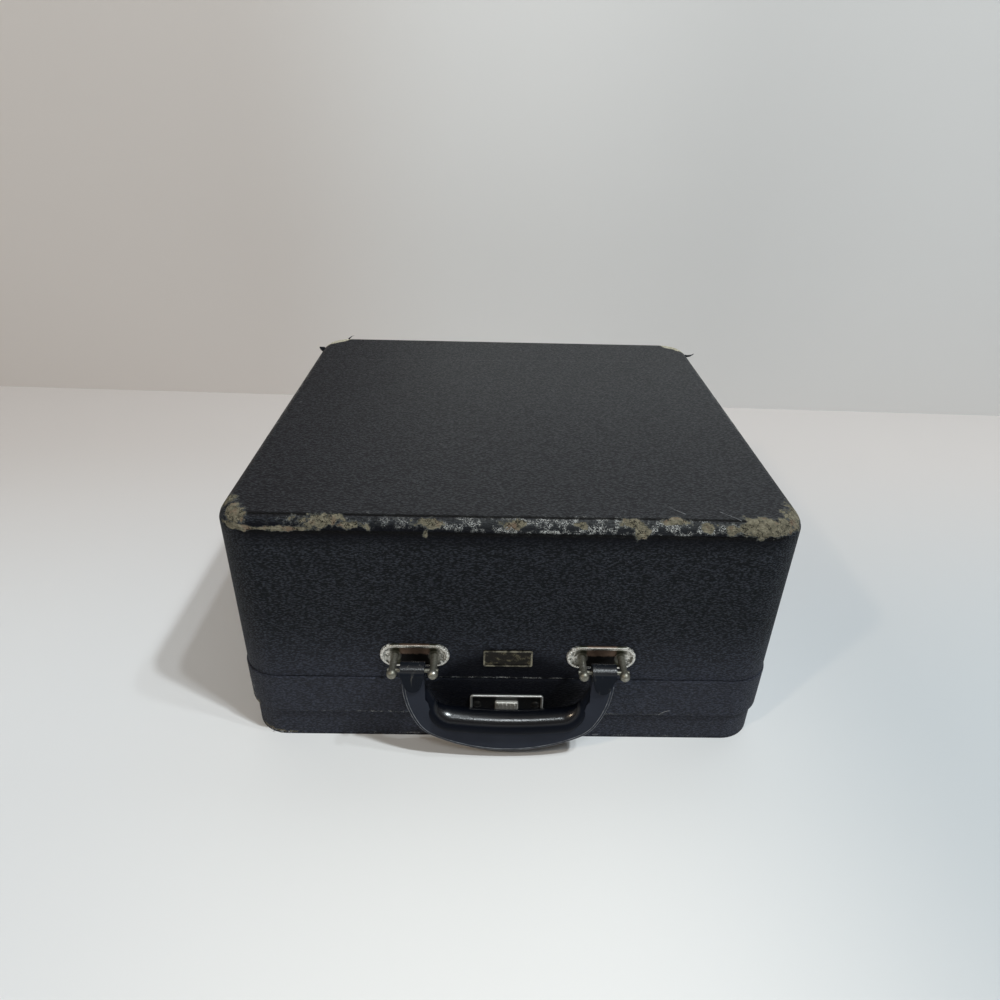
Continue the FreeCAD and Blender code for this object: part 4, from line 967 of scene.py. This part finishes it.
hold_downs = both("rear_hook_", "front_clip_") + ["rear_hook_screws", "front_clip_posts"]
dress(lock_parts + hold_downs + both("handle_backing_", "handle_eye_"),
      plain_steel("inner_steel", tone(120, 120, 118), tone(176, 175, 170), 0.32))
dress(["lid_frame", "base_frame", "base_lip"], wood("frame_wood", "Z"))
dress(["lid_top_board", "base_floor_board"], wood("board_wood", "X"))
dress(["lid_lining", "base_lining"], lining_cloth("lining"))
dress(["base_underside"], leatherette("underside_leatherette", False))


# Stage
def plane(name, points, left, middle, right, far=None, one_sided=False):
    """A large plain sheet whose colour drifts from left to right and, on the floor, with the distance, as
    painted light and shade over the stage.
    """
    mesh = bpy.data.meshes.new(name)
    mesh.from_pydata(points, [], [(0, 1, 2, 3)])
    m = Finish(name + "_paint")
    colour = m.mix(m.span(m.part("X"), *painted_light_left_to_middle), left, middle)
    colour = m.mix(m.span(m.part("X"), *painted_light_middle_to_right), colour, right)
    if far:
        colour = m.mix(m.span(m.part("Y"), *painted_light_near_to_far), colour, far)
    colour = m.mix(m.noise(3.0, 3.0), colour, m.mix(0.03, colour, grey(0.0)))
    m.set(base_color=colour, roughness=0.65)
    if one_sided:
        by_side = m.add("ShaderNodeMixShader")
        m.feed(by_side.inputs[0], m.add("ShaderNodeNewGeometry").outputs["Backfacing"])
        m.feed(by_side.inputs[1], m.surface.outputs[0])
        m.feed(by_side.inputs[2], m.add("ShaderNodeBsdfTransparent").outputs[0])
        m.feed(m.output.inputs["Surface"], by_side.outputs[0])
    mesh.materials.append(m.material)
    made = bpy.data.objects.new(name, mesh)
    bpy.context.scene.collection.objects.link(made)


room = 3.0
wall_y = 0.4075
wall_lean = -0.0272  # the backdrop's foot comes nearer towards the right
wall_left_y = wall_y - room * wall_lean
wall_right_y = wall_y + room * wall_lean
floor_albedo = 0.80
plane("floor", [(-room, -room, 0), (room, -room, 0), (room, room, 0), (-room, room, 0)],
      tone(226, 228, 231), tone(241, 241, 241), tone(194, 199, 203), tone(210, 205, 203))
wall_foot = [(-room, wall_left_y, 0), (room, wall_right_y, 0)]
wall_top = [(room, wall_right_y, room), (-room, wall_left_y, room)]
plane("backdrop", wall_foot + wall_top,
      tone(219, 214, 211), tone(238, 238, 238), tone(222, 222, 222), one_sided=True)

# Light
cool = (0.90, 0.97, 1.0)
warm = (1.0, 0.81, 0.60)
room_colour = (1.0, 0.93, 0.83, 1.0)
room_strength = 0.15
lamp_distance = 2.6


def lamp(name, lean_x, lean_y, share, width, colour, length=None):
    """Round or long lamp over the case; its share of the floor's brightness sets its power."""
    direction = Vector((lean_x, lean_y, 1.0)).normalized()
    data = bpy.data.lights.new(name, "AREA")
    data.shape = "RECTANGLE" if length else "DISK"
    data.size = length or width
    if length:
        data.size_y = width
    data.color = colour
    data.energy = share * math.pi**2 * lamp_distance**2 / (floor_albedo * direction.z)
    made = bpy.data.objects.new(name, data)
    made.location = direction * lamp_distance
    made.rotation_mode = "QUATERNION"
    made.rotation_quaternion = direction.to_track_quat("Z", "Y")
    bpy.context.scene.collection.objects.link(made)


lamp("lamp_right", lean_x=0.467, lean_y=-0.351, share=0.24, width=0.10, colour=cool)
lamp("lamp_middle", lean_x=0.357, lean_y=-0.334, share=0.12, width=0.10, colour=cool)
lamp("lamp_far_right", lean_x=0.502, lean_y=-0.238, share=0.07, width=0.10, colour=cool)
lamp("lamp_left", lean_x=-0.759, lean_y=-0.738, share=0.072, width=0.14, colour=warm)
lamp("lamp_front", lean_x=0.03, lean_y=-0.674, share=0.075, width=0.40, colour=cool, length=0.45)

world = bpy.data.worlds.new("room_light")
bpy.context.scene.world = world
world.use_nodes = True
world.node_tree.nodes["Background"].inputs[0].default_value = room_colour
world.node_tree.nodes["Background"].inputs[1].default_value = room_strength

# Camera, solved from the case's outline in the photograph
camera_place = (-0.0134, -0.47394, 0.35984)
lens = 25.43
sensor_width = 36.0
pitch = math.radians(30.18)
yaw = math.radians(1.11)
roll = math.radians(1.53)
forward = Vector((math.sin(yaw) * math.cos(pitch), math.cos(yaw) * math.cos(pitch), -math.sin(pitch)))
level_right = Vector((math.cos(yaw), -math.sin(yaw), 0.0))
level_up = level_right.cross(forward)
right = level_right * math.cos(roll) + level_up * math.sin(roll)
up = level_up * math.cos(roll) - level_right * math.sin(roll)
camera_data = bpy.data.cameras.new("camera")
camera_data.lens = lens
camera_data.sensor_width = sensor_width
camera = bpy.data.objects.new("camera", camera_data)
camera_turn = Matrix((right, up, -forward)).transposed().to_4x4()
camera.matrix_world = Matrix.Translation(camera_place) @ camera_turn
bpy.context.scene.collection.objects.link(camera)
bpy.context.scene.camera = camera
bpy.context.scene.view_settings.view_transform = "Standard"
